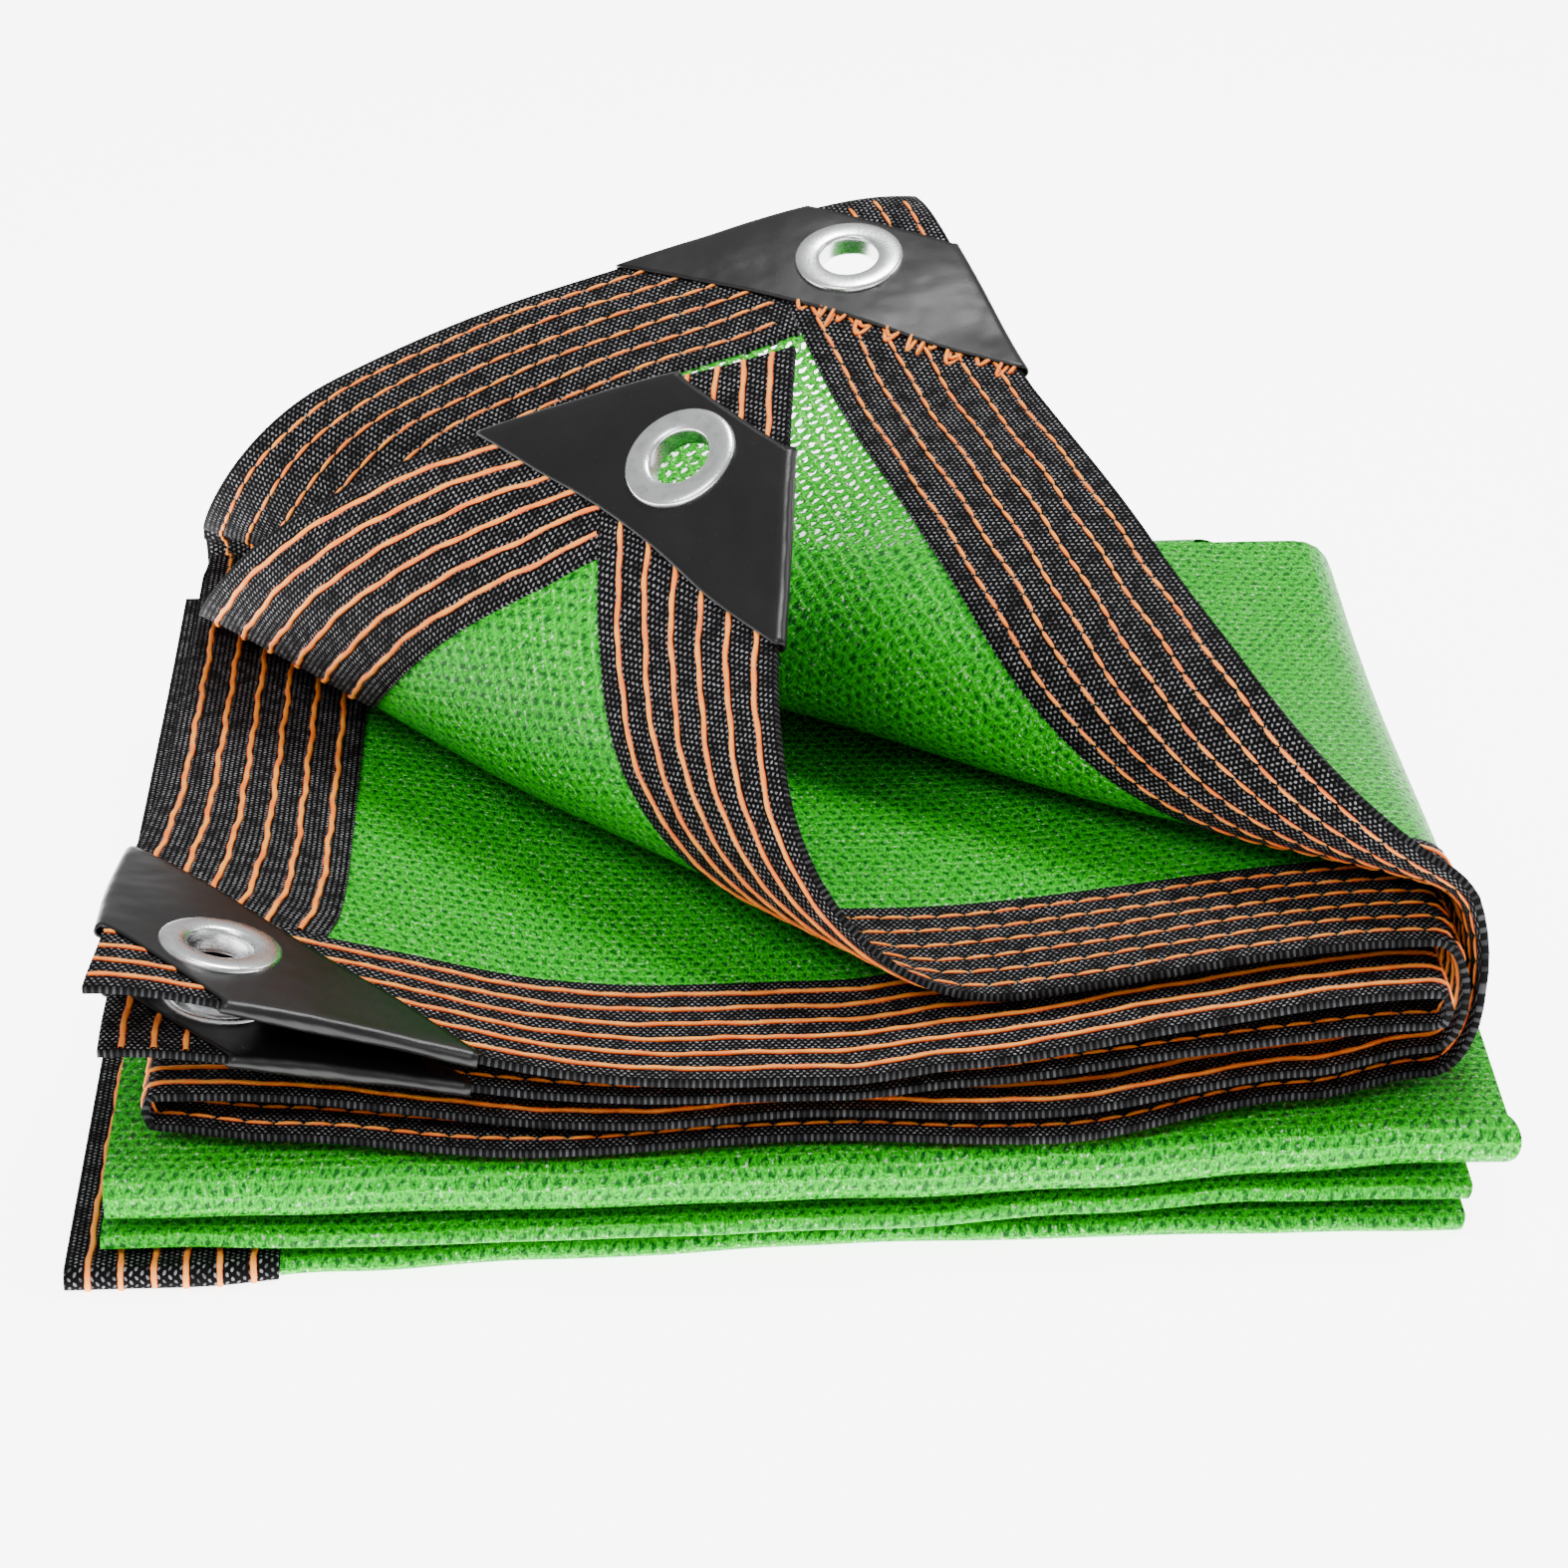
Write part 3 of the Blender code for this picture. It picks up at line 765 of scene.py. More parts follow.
class Graph:
    """The node tree of one material."""

    def __init__(self, name: str) -> None:
        """Start a material with a plain shader.

        Args:
            name: The material's name.
        """
        self.material = bpy.data.materials.new(name)
        self.material.use_nodes = True
        self.tree = self.material.node_tree
        self.shader = self.tree.nodes["Principled BSDF"]

    def node(self, kind: str, settings: dict[str, object],
             inputs: dict[object, object]) -> bpy.types.Node:
        """Add one node.

        Args:
            kind: The node's type.
            settings: Its settings, set first.
            inputs: Values or links of its sockets, by name or number.

        Returns:
            The new node.
        """
        item = self.tree.nodes.new(kind)
        for key, value in settings.items():
            setattr(item, key, value)
        for key, value in inputs.items():
            if isinstance(value, Socket):
                self.tree.links.new(value.link, item.inputs[key])
            else:
                item.inputs[key].default_value = value
        return item

    def value(self, kind: str, settings: dict[str, object], inputs: dict[object, object],
              output: object = 0) -> Socket:
        """Add one node and give one of its outputs."""
        return Socket(self, self.node(kind, settings, inputs).outputs[output])

    def flat(self) -> tuple[Socket, Socket, Socket]:
        """Give the place on the flat sheet.

        Returns:
            Millimetres along it and across it, and both as a vector.
        """
        place = self.value("ShaderNodeUVMap", {"uv_map": "flat"}, {})
        parts = self.node("ShaderNodeSeparateXYZ", {}, {0: place})
        return Socket(self, parts.outputs[0]), Socket(self, parts.outputs[1]), place

    @staticmethod
    def staggered(x: Socket, y: Socket) -> tuple[Socket, Socket, Socket]:
        """Shift every other row of cells; give x, then the place from a cell's middle."""
        x = x + (y.floor() * 0.5).fract()
        return x, x.fract() - 0.5, y.fract() - 0.5

    def noise(self, place: Socket, scale: float, detail: float = 2.0,
              stretch: tuple[float, float] = (1.0, 1.0)) -> Socket:
        """Give a soft random value.

        Args:
            place: Where it is read.
            scale: Spots for each millimetre.
            detail: How fine its layers go.
            stretch: Scale along and across.

        Returns:
            A value round one half.
        """
        sized = self.value("ShaderNodeVectorMath", {"operation": "MULTIPLY"},
                           {0: place, 1: (stretch[0], stretch[1], 1.0)})
        inputs = {"Vector": sized, "Scale": scale, "Detail": detail}
        return self.value("ShaderNodeTexNoise", {}, inputs, "Fac")

    def blend(self, share: Socket | float, first: object, second: object) -> Socket:
        """Mix two colours or links; share is how much of the second."""
        tones = {0: share, 6: self.tone(first), 7: self.tone(second)}
        return self.value("ShaderNodeMix", {"data_type": "RGBA"}, tones, 2)

    @staticmethod
    def tone(color: object) -> object:
        """Give a colour with its fourth part, or a link as it is."""
        return color if isinstance(color, Socket) else (*color, 1.0)

    def bump(self, height: Socket, distance: float, strength: float = 1.0) -> Socket:
        """Give a normal raised by a height; distance is in millimetres."""
        inputs = {"Height": height, "Distance": distance * MM, "Strength": strength}
        return self.value("ShaderNodeBump", {}, inputs)

    def wire(self, **sockets: object) -> Material:
        """Set the shader's sockets.

        Args:
            sockets: Values or links by name, with _ for a blank.

        Returns:
            The material.
        """
        for key, value in sockets.items():
            socket = self.shader.inputs[key.replace("_", " ")]
            if isinstance(value, Socket):
                self.tree.links.new(value.link, socket)
            elif isinstance(value, tuple) and len(value) == 3 and socket.type == "RGBA":
                socket.default_value = (*value, 1.0)
            else:
                socket.default_value = value
        return self.material


@dataclass(frozen=True)
class KnitFinish:
    """Shiny green knitted yarn with small staggered holes, its colour holding painted shade
    between the yarns and in the holes, and painted highlights and glitter.
    """

    # deep: painted shade colour between the yarns, also used for random darker tone.
    deep: Triple = (0.0, 0.085, 0.004)
    main: Triple = (0.0, 0.60, 0.0)
    # pale: painted highlight colour of the yarn glints.
    pale: Triple = (0.50, 0.88, 0.20)
    # Painted glitter highlight colour, near white.
    glitter_highlight: Triple = (0.95, 1.0, 0.82)
    # gap: painted shade colour seen in the holes.
    gap: Triple = (0.0, 0.045, 0.004)
    stitch_x: float = 2.7
    stitch_y: float = 3.0
    open_from: float = 905.0
    open_to: float = 990.0
    open_front: float = 45.0
    open_back: float = 110.0
    hole_width: float = 0.17
    hole_height: float = 0.28
    hole_taper: float = 0.20
    hole_lean: float = 0.35
    ragged: float = 4.6
    bar_width: float = 0.16
    dash_length: float = 0.40
    leg_width: float = 0.15
    leg_lean: float = 0.42

    def material(self, name: str) -> Material:
        """Build the material.

        Args:
            name: Its name.

        Returns:
            The finished material.
        """
        g = Graph(name)
        along, across, place = g.flat()
        # The open area near flap A's inner corner: holes open wider and see through, and painted
        # light shining through the cloth is added there as extra highlight.
        inner = 1.0 - across.step(self.open_front, self.open_back)
        open_backlit_area = along.step(self.open_from, self.open_to) * inner
        drift = (g.noise(place, 0.11) - 0.5) * 1.8 + (g.noise(place, 0.50) - 0.5) * 2.4
        sway = (g.noise(place, 0.13, 1.0) - 0.5) * 1.4 + (g.noise(place, 0.56, 1.0) - 0.5) * 1.9
        x = (along + drift) / self.stitch_x
        y = (across + sway) / self.stitch_y
        _, fx, fy = g.staggered(x, y)
        rough = g.noise(place, 1.0, 3.0)
        fine = g.noise(place, 1.9, 2.0, (1.0, 0.4))
        # spots: painted glitter highlights, small specks where the yarn would catch the light.
        spots = g.noise(place, 1.25, 2.0, (1.0, 0.75)).step(0.60, 0.68)
        lean = fx + fy * self.hole_lean
        narrow = self.hole_width + fy * self.hole_taper
        oval = (lean / narrow) ** 2.0 + (fy / self.hole_height) ** 2.0
        hole_shape = oval + (rough - 0.5) * self.ragged
        hole = 1.0 - (hole_shape - open_backlit_area * 0.7).step(0.2, 1.0)
        bar = 1.0 - ((fy.size() - 0.5).size() / self.bar_width).step(0.3, 1.0)
        dash = bar * (1.0 - (fx.size() / self.dash_length).step(0.55, 1.0))
        slant = fx.size() - 0.5 + fy.size() * self.leg_lean
        leg = 1.0 - (slant.size() / self.leg_width).step(0.2, 1.0)
        yarn = (bar * (0.45 + rough.step(0.38, 0.58) * 0.55)).upper(leg * rough.step(0.35, 0.6))
        height = yarn * 0.6 + fine * 0.5 - hole * 0.9
        patchy = g.noise(place, 0.10).step(0.32, 0.62)
        # Painted highlights: glints on the yarn crests and on the bars' dashes.
        glint = (fine * yarn).step(0.46, 0.66).upper(dash * rough.step(0.42, 0.62) * 0.8)
        # Painted shade: darker green where the yarn lies low between bars and legs, and darker or
        # lighter at random from the fine noise.
        shade = g.blend(yarn * 0.45 + (fine - 0.5) * 2.4 + 0.40, self.deep, self.main)
        # Painted highlights mixed in, more in the open area where painted light shines through the
        # cloth.
        color = g.blend(glint * (0.04 + patchy * 0.20 + open_backlit_area * 0.45), shade, self.pale)
        # Painted glitter highlights on the yarn.
        color = g.blend(spots * (yarn * 0.5 + 0.3) * (0.3 + patchy * 0.7), color, self.glitter_highlight)
        # Painted shade: dark green fills the holes.
        color = g.blend(hole * 0.85, color, self.gap)
        see_through = 1.0 - hole.step(0.55, 0.9) * open_backlit_area * 0.8
        return g.wire(Base_Color=color, Roughness=0.46 - glint * 0.16,
                      Normal=g.bump(height, 0.7, 0.8), Alpha=see_through,
                      Specular_IOR_Level=0.14)


@dataclass(frozen=True)
class TapeFinish:
    """Black woven tape; the pale marks where the yarn crosses are painted sheen on the yarn's
    tops, fewer along the outer edge.
    """

    dark: Triple = (0.0022, 0.0022, 0.0024)
    # Painted sheen colour on the yarn's tops.
    weave_sheen: Triple = (0.42, 0.42, 0.45)
    pitch_along: float = 1.25
    pitch_across: float = 1.05
    spot_width: float = 0.34
    spot_height: float = 0.46
    rim_width: float = 0.7
    rim_dark: float = 0.18

    def material(self, name: str) -> Material:
        """Build the material.

        Args:
            name: Its name.

        Returns:
            The finished material.
        """
        g = Graph(name)
        along, across, place = g.flat()
        x, fx, fy = g.staggered(along / self.pitch_along, across / self.pitch_across + 0.5)
        tilt = ((x.floor() * 0.5).fract() - 0.25) * 1.3
        turned = fx + fy * tilt
        spot = (turned / self.spot_width) ** 2.0 + (fy / self.spot_height) ** 2.0
        rough = g.noise(place, 1.3, 3.0)
        crown = 1.0 - (spot * 1.5 + (rough - 0.5) * 2.2).step(0.3, 0.95)
        patchy = g.noise(place, 0.28).step(0.3, 0.7)
        rim = self.rim_dark + across.step(0.0, self.rim_width) * (1.0 - self.rim_dark)
        # Painted sheen: pale marks on the weave's tops, patchy at random and fewer along the outer
        # edge.
        color = g.blend(crown * rim * (0.08 + patchy * 0.5), self.dark, self.weave_sheen)
        return g.wire(Base_Color=color, Roughness=0.8, Specular_IOR_Level=0.05,
                      Normal=g.bump(crown + rough * 0.3, 0.35, 0.8))


@dataclass(frozen=True)
class ThreadFinish:
    """Orange sewing thread: its paler top side is a painted highlight and its deeper red-orange
    sides are painted shade.
    """

    # edge is the painted shade colour of the thread's sides; crown is the painted highlight colour
    # of its top.
    edge: Triple = (0.80, 0.06, 0.003)
    crown: Triple = (1.0, 0.37, 0.04)

    def material(self, name: str) -> Material:
        """Build the material.

        Args:
            name: Its name.

        Returns:
            The finished material.
        """
        g = Graph(name)
        along, across, place = g.flat()
        twist = ((along * 1.1 + across * 0.9).fract() - 0.5).size() * 2.0
        tone = g.noise(place, 0.16).step(0.30, 0.62)
        # Painted light: the thread's top side, facing away from the tape, gets the pale highlight
        # colour, its sides the deeper shade colour.
        top = across.sine().step(-0.05, 0.8)
        color = g.blend(top * (0.38 + tone * 0.5 + twist * 0.12), self.edge, self.crown)
        return g.wire(Base_Color=color, Roughness=0.55, Normal=g.bump(twist, 0.12, 0.6),
                      Specular_IOR_Level=0.2)


@dataclass(frozen=True)
class PatchFinish:
    """Black coated sheet with a satin face."""

    color: Triple = (0.0022, 0.0020, 0.0022)
    dust: Triple = (0.05, 0.045, 0.045)
    roughness: float = 0.36

    def material(self, name: str) -> Material:
        """Build the material.

        Args:
            name: Its name.

        Returns:
            The finished material.
        """
        g = Graph(name)
        place = g.flat()[2]
        grain = g.noise(place, 2.2)
        dents = g.noise(place, 0.06)
        specks = g.noise(place, 0.9, 4.0).step(0.66, 0.76)
        color = g.blend(specks * 0.25, self.color, self.dust)
        return g.wire(Base_Color=color, Roughness=self.roughness + (dents - 0.5) * 0.16,
                      Normal=g.bump(dents + grain * 0.03, 1.6, 0.5),
                      Specular_IOR_Level=0.3)


@dataclass(frozen=True)
class MetalFinish:
    """Bright rolled metal, a little dulled by handling."""

    color: Triple = (0.78, 0.79, 0.80)
    dull: Triple = (0.52, 0.53, 0.54)

    def material(self, name: str) -> Material:
        """Build the material.

        Args:
            name: Its name.

        Returns:
            The finished material.
        """
        g = Graph(name)
        place = g.flat()[2]
        wear = g.noise(place, 0.35, 4.0)
        scratch = g.noise(place, 0.9, 3.0, (0.12, 2.4))
        color = g.blend(wear.step(0.35, 0.75), self.color, self.dull)
        return g.wire(Base_Color=color, Metallic=1.0, Roughness=0.16 + wear * 0.22,
                      Normal=g.bump(scratch, 0.06, 0.5))


@dataclass(frozen=True)
class FloorFinish:
    """Plain pale floor."""

    color: Triple = (0.93, 0.93, 0.93)
    glow: float = 6.5

    def material(self, name: str) -> Material:
        """Build the material."""
        return Graph(name).wire(Base_Color=self.color, Emission_Color=self.color, Roughness=0.7,
                                Emission_Strength=self.glow)


@dataclass(frozen=True)
class LowerPly:
    """One ply of the lower packet: height, where it ends in y, left edge at both ends, right."""

    height: float
    end: float
    left_start: float
    left_end: float
    right: float


@dataclass(frozen=True)
class PathRow:
    """One row across the lower packet; bulge is 1 in the middle of a fold and 0 on a ply."""

    y: float
    z: float
    left: float
    right: float
    fold: int
    bulge: float


@dataclass
class ShadeCloth:
    """The green sheet: two strands, the lower packet and the folds at the back."""

    packet: Packet
    finish: KnitFinish = field(default_factory=KnitFinish)
    step: float = 3.0
    columns: int = 64
    seam: float = 39.6
    clear: float = 0.5
    back_right: float = 100.0
    fold_columns: int = 80
    fold_rows: int = 9
    fold_flat: float = 230.0
    turn_rows: int = 21
    lower_columns: int = 110
    ply_rows: int = 60
    bend_rows: int = 13
    skew: float = 1.8
    end_bulge: float = 3.0
    front_from: float = -60.0
    front_over: float = 60.0
    dent: float = 0.35
    lower_left_tape: float = -137.7
    flat_size: tuple[float, float] = (1.04, 1.76)
    lower: tuple[LowerPly, ...] = (
        LowerPly(21.0, -126.0, -86.0, -130.0, 137.0),
        LowerPly(11.4, 117.0, -130.0, -131.0, 135.0),
        LowerPly(9.3, -128.0, -131.0, -131.0, 130.0),
        LowerPly(6.2, 117.0, -131.0, -131.0, 129.0),
        LowerPly(4.1, -127.0, -97.4, -97.4, 128.5),
        LowerPly(0.8, 112.0, -97.4, -97.4, 127.5),
    )
    fold_fronts: tuple[Table, ...] = (
        ((-120.0, -3.4), (-50.0, -2.3), (20.0, -0.1), (55.0, 2.3), (90.0, 7.0), (120.0, 10.0)),
        ((-120.0, -4.5), (-85.0, -5.6), (-50.0, -4.3), (20.0, -1.6), (55.0, 2.9), (90.0, 6.4)),
        ((-120.0, -10.0), (-85.0, -6.2), (-50.0, -3.1), (20.0, 1.6), (90.0, 2.7)),
    )

    def strand_sheet(self, strand: Strand) -> Sheet:
        """Lay the cloth of one strand inside its tapes.

        Args:
            strand: The run of plies.

        Returns:
            The grid.
        """
        packet = self.packet
        grid = GridRows()
        shares = np.linspace(0.0, 1.0, self.columns)
        start = strand.plies[0]
        stop = strand.plies[-1]
        ends = {name: packet.plies[name].left + self.seam for name in (start, stop)}
        inner = [s for s in strand.stations if s.x > ends.get(s.ply, -FAR) + self.clear]
        first = Station(start, ends[start], self.seam)
        last = Station(stop, ends[stop], strand.length - self.seam)
        for station in [first] + inner + [last]:
            depth = packet.depth_of(station.ply, station.x)
            v = self.seam + (depth - self.seam) * shares
            grid.add(packet.ply(station.ply, station.x, v), flat_row(station.length, v))
        return grid.sheet()

    def back_edge(self, name: str) -> tuple[Array, Array]:
        """Give the back edge of a ply inside its tape.

        Args:
            name: The ply.

        Returns:
            Unrolled places along it and its points.
        """
        start = self.packet.plies[name].left + self.seam
        x = start + (self.back_right - start) * np.linspace(0.0, 1.0, self.fold_columns)
        return x, self.packet.ply(name, x, self.packet.depth_of(name, x))

    def back_fold(self) -> Sheet:
        """Join plies b and c at the back by a tight half turn.

        Returns:
            The grid.
        """
        x, first = self.back_edge("b")
        last = self.back_edge("c")[1]
        bulge = half_gap(first, last)
        grid = GridRows()
        for angle in np.linspace(0.0, math.pi, self.fold_rows):
            grid.add(fold_row(first, last, angle), flat_row(x, self.fold_flat + angle * bulge))
        return grid.sheet()

    def path(self) -> list[PathRow]:
        """Run down the lower packet, ply by ply and round each fold.

        Returns:
            The rows.
        """
        rows = []
        y = self.packet.back_y
        for index, ply in enumerate(self.lower):
            fold = index // 2
            for i in range(self.ply_rows):
                share = i / (self.ply_rows - 1)
                turn = float(smooth(np.array(share * self.skew)))
                left = ply.left_start + (ply.left_end - ply.left_start) * turn
                place = y + (ply.end - y) * share
                rows.append(PathRow(place, ply.height, left, ply.right, fold, 0.0))
            if ply is not self.lower[-1]:
                rows += self.bend(ply, self.lower[index + 1], fold)
            y = ply.end
        return rows

    def bend(self, ply: LowerPly, below: LowerPly, fold: int) -> list[PathRow]:
        """Run round the fold between two plies of the lower packet.

        Args:
            ply: The upper one.
            below: The lower one.
            fold: The fold's number, counted at the front.

        Returns:
            The rows.
        """
        radius = (ply.height - below.height) / 2.0
        sign = -1.0 if ply.end < 0.0 else 1.0
        rows = []
        for k in range(1, self.bend_rows + 1):
            angle = math.pi * k / (self.bend_rows + 1)
            share = turn_share(angle)
            left = ply.left_end + (below.left_start - ply.left_end) * share
            right = ply.right + (below.right - ply.right) * share
            if ply is self.lower[0]:
                right += self.end_bulge * math.sin(angle)
            rows.append(PathRow(ply.end + sign * radius * math.sin(angle),
                                ply.height - 2.0 * radius * share, left, right, fold,
                                math.sin(angle)))
        return rows

    def lower_row(self, row: PathRow, share: Array) -> Array:
        """Give one row of points of the lower packet.

        Args:
            row: One row of the path.
            share: Places from the left edge to the right.

        Returns:
            Points in millimetres.
        """
        x = row.left + (row.right - row.left) * share
        front = smooth(np.array((self.front_from - row.y) / self.front_over))
        wander = eased(x, self.fold_fronts[row.fold])
        ripple = np.sin(x / 6.1 + row.fold * 1.7 + 1.1 * np.sin(x / 17.0))
        y = row.y + front * (wander + self.dent * ripple * row.bulge)
        return np.stack([x, y + 0.0 * x, row.z + 0.0 * x], -1)

    def wide_radius(self) -> float:
        """Give the radius of the wide back turn, in millimetres."""
        return (self.packet.plies["a"].height - self.lower[0].height) / 2.0

    def wide_turn(self, x: Array, angle: float) -> Array:
        """Give one row of the wide back turn.

        Args:
            x: Places along it.
            angle: How far round it lies.

        Returns:
            Points in millimetres.
        """
        top = self.packet.plies["a"].height
        radius = self.wide_radius()
        y = self.packet.back_y + radius * math.sin(angle) + 0.0 * x
        z = self.packet.lifted(x, y, top - 2.0 * radius * turn_share(angle) + 0.0 * x)
        return np.stack([x, y, z], -1)

    def lower_sheet(self) -> Sheet:
        """Lay the wide back turn and the lower packet as one grid.

        Returns:
            The grid.
        """
        share = np.linspace(0.0, 1.0, self.lower_columns)
        lower_rows = [self.lower_row(row, share) for row in self.path()]
        start = self.packet.plies["a"].left + self.seam
        x_first = start + (self.back_right - start) * share
        x_last = lower_rows[0][:, 0]
        rows = []
        for angle in np.linspace(0.0, math.pi, self.turn_rows)[:-1]:
            part = turn_share(angle)
            rows.append(self.wide_turn(x_first * (1.0 - part) + x_last * part, angle))
        points = np.array(rows + lower_rows)
        lengths = lengths_along(points[:, self.lower_columns // 2])
        flats = [flat_row(row[:, 0], length) for length, row in zip(lengths, points)]
        return Sheet(points, np.array(flats))

    def build(self) -> Object:
        """Returns:
            The cloth object.
        """
        outer = self.strand_sheet(Strand(self.packet, "befa", self.step))
        inner = self.strand_sheet(Strand(self.packet, "cd", self.step))
        sheets = [outer, inner, self.back_fold(), self.lower_sheet()]
        data = MeshData.joined([sheet.single() for sheet in sheets])
        item = data.place("shade_cloth", self.packet, self.finish.material("knit_green"))
        declare(item, "cloth")
        return item


@dataclass
class EdgeTape:
    """One strip of black tape; running is 1 where the running thread is on the normal's side."""

    name: str
    node: str
    sheet: Sheet
    running: float
    packet: Packet
    thickness: float = 1.5
    hole_radius: float = 8.6

    def build(self, material: Material) -> Object:
        """Make the strip.

        Args:
            material: The tape's finish.

        Returns:
            The tape object.
        """
        data = self.sheet.thick(self.thickness, self.hole_radius)
        item = data.place(self.name, self.packet, material)
        declare(item, self.node)
        return item

    def length(self) -> float:
        """Give the strip's length in metres along its middle."""
        middle = self.sheet.points[:, self.sheet.points.shape[1] // 2]
        return float(np.linalg.norm(np.diff(middle, axis=0), axis=1).sum()) * MM


@dataclass
class SewingRows:
    """Six rows of orange thread on both faces of a tape, in millimetres."""

    first: float = 4.5
    pitch: float = 6.15
    rows: int = 6
    sides: int = 6
    half_width: float = 0.62
    half_height: float = 0.46
    stitch: float = 5.6
    step: float = 1.4
    end_gap: float = 0.3
    lift: float = 0.12
    stagger: float = 2.3
    flat_stagger: float = 7.0
    thin: float = 0.84
    swell: float = 0.26
    dash: tuple[float, ...] = (0.22, 0.8, 1.0, 1.0, 1.0, 0.8, 0.22)
    dash_scale: float = 0.76
    dash_dip: float = 0.30
    hole_gap: float = 9.5
    shortest: int = 4
    tip_stations: int = 15
    corner_rows: int = 3
    corner_rise: float = 0.87
    corner_reach: float = 29.0
    loops: int = 17
    loops_share: float = 0.5
    patch_edge: float = 70.5
    lowest: float = 0.05

    def tube(self, points: Array, normal: Array, scale: Array,
             along: Array) -> MeshData:
        """Make one thread.

        Args:
            points: Its middle line.
            normal: The tape's normal along it.
            scale: Its thickness along it, 1 being full.
            along: Its length at each point.

        Returns:
            The thread's mesh.
        """
        side = unit(np.cross(normal, unit(np.gradient(points, axis=0))))
        ring = []
        flats = []
        for angle in np.linspace(0.0, 2.0 * math.pi, self.sides + 1)[:-1]:
            wide = side * (math.cos(angle) * self.half_width) * scale[:, None]
            high = normal * (math.sin(angle) * self.half_height) * scale[:, None]
            ring.append(points + wide + high)
            flats.append(flat_row(along, angle))
        return Sheet(np.stack(ring, 1), np.stack(flats, 1), wrapped=True).single()

    def resample(self, line: Array, normal: Array,
                 step: float) -> tuple[Array, Array, Array, Array]:
        """Read a line at even distances.

        Args:
            line: Its points.
            normal: Normals at them.
            step: The distance wanted.

        Returns:
            Points, normals, sideways directions and lengths.
        """
        lengths = lengths_along(line)
        count = max(3, int(lengths[-1] / step))
        wanted = np.linspace(self.end_gap, lengths[-1] - self.end_gap, count)
        points = np.stack([np.interp(wanted, lengths, line[:, k]) for k in range(3)], 1)
        ups = unit(np.stack([np.interp(wanted, lengths, normal[:, k]) for k in range(3)], 1))
        return points, ups, unit(np.cross(ups, np.gradient(points, axis=0))), wanted

    def pinch(self, lengths: Array, phase: float) -> Array:
        """Give the running thread's thickness, least where a stitch goes through."""
        return self.thin + self.swell * np.abs(np.sin(lengths * math.pi / self.stitch + phase))

    @staticmethod
    def between(grid: Array, column: float) -> Array:
        """Read all rows of a grid at a place between two of its columns.

        Args:
            grid: The grid.
            column: The place, counted in columns.

        Returns:
            One value or point for each row.
        """
        low = int(column)
        share = column - low
        return grid[:, low] * (1 - share) + grid[:, low + 1] * share

    def on_tape(self, tape: EdgeTape, across: Array) -> list[MeshData]:
        """Lay the rows on one tape.

        Args:
            tape: The tape.
            across: Distance of each of the tape's columns from its outer edge.

        Returns:
            The threads.
        """
        normals = tape.sheet.normals()
        parts = []
        for k in range(self.rows):
            place = self.first + self.pitch * k
            column = float(np.interp(place, across, np.arange(len(across))))
            line = self.between(tape.sheet.points, column)
            normal = unit(self.between(normals, column))
            keep = np.ones(len(line), bool)
            if tape.sheet.hole is not None:
                keep = self.between(tape.sheet.hole, column) > self.hole_gap
            if tape.node == "tape_front_cd":
                keep[-self.tip_stations:] = False
            runs = np.split(np.arange(len(line)), np.where(np.diff(keep.astype(int)) != 0)[0] + 1)
            for run in runs:
                if len(run) >= self.shortest and keep[run[0]]:
                    parts += self.both_faces(line[run], normal[run], tape, k)
        return parts

    def both_faces(self, line: Array, normal: Array, tape: EdgeTape,
                   row: int) -> list[MeshData]:
        """Lay one row on both faces: a running thread on one, dashes on the other.

        Args:
            line: Points on the tape's middle.
            normal: Normals there.
            tape: The tape.
            row: The row's number, which staggers it.

        Returns:
            The threads of both faces.
        """
        running = tape.running
        rise = tape.thickness / 2.0 + self.lift
        phase = row * self.stagger
        flat_phase = phase * self.flat_stagger
        points, ups, side, lengths = self.resample(line, normal, self.step)
        wobble = 0.20 * np.sin(lengths / 4.1 + phase) + 0.13 * np.sin(lengths / 1.7 + phase)
        top = points + ups * running * rise + side * wobble[:, None]
        parts = [self.tube(top, ups * running, self.pinch(lengths, phase), lengths + flat_phase)]
        count = len(self.dash)
        dip = np.array(self.dash)
        fine, ups, side, lengths = self.resample(line, normal, self.stitch / (count - 1))
        sway = 0.22 * np.sin(lengths / 5.3 + phase)
        for first in range(row * 2 % (count - 1), len(fine) - count, count - 1):
            spots = slice(first, first + count)
            height = (rise - self.dash_dip + self.dash_dip * dip)[:, None]
            low = fine[spots] - ups[spots] * running * height
            low = low + side[spots] * (sway[spots] + 0.1 * np.linspace(-1, 1, count))[:, None]
            parts.append(self.tube(low, -ups[spots] * running, dip * self.dash_scale,
                                   lengths[spots] + flat_phase))
        return parts

    def over_corner(self, packet: Packet, name: str) -> list[MeshData]:
        """Run the left tape's rows on over a corner's top, as far as the front edge.

        Args:
            packet: The shape they lie on.
            name: The ply.

        Returns:
            The threads.
        """
        parts = []
        for k in range(self.corner_rows):
            u = self.first + self.pitch * k
            v = np.linspace(0.6, self.corner_reach - u, 16)
            x = packet.plies[name].left + u + 0.15 * np.sin(v / 2.3 + k)
            up = packet.up(name, x, v)
            points = packet.ply(name, x, v) + up * self.corner_rise
            parts.append(self.tube(points, up, self.pinch(v, k), v + 16.0 * k))
        return parts

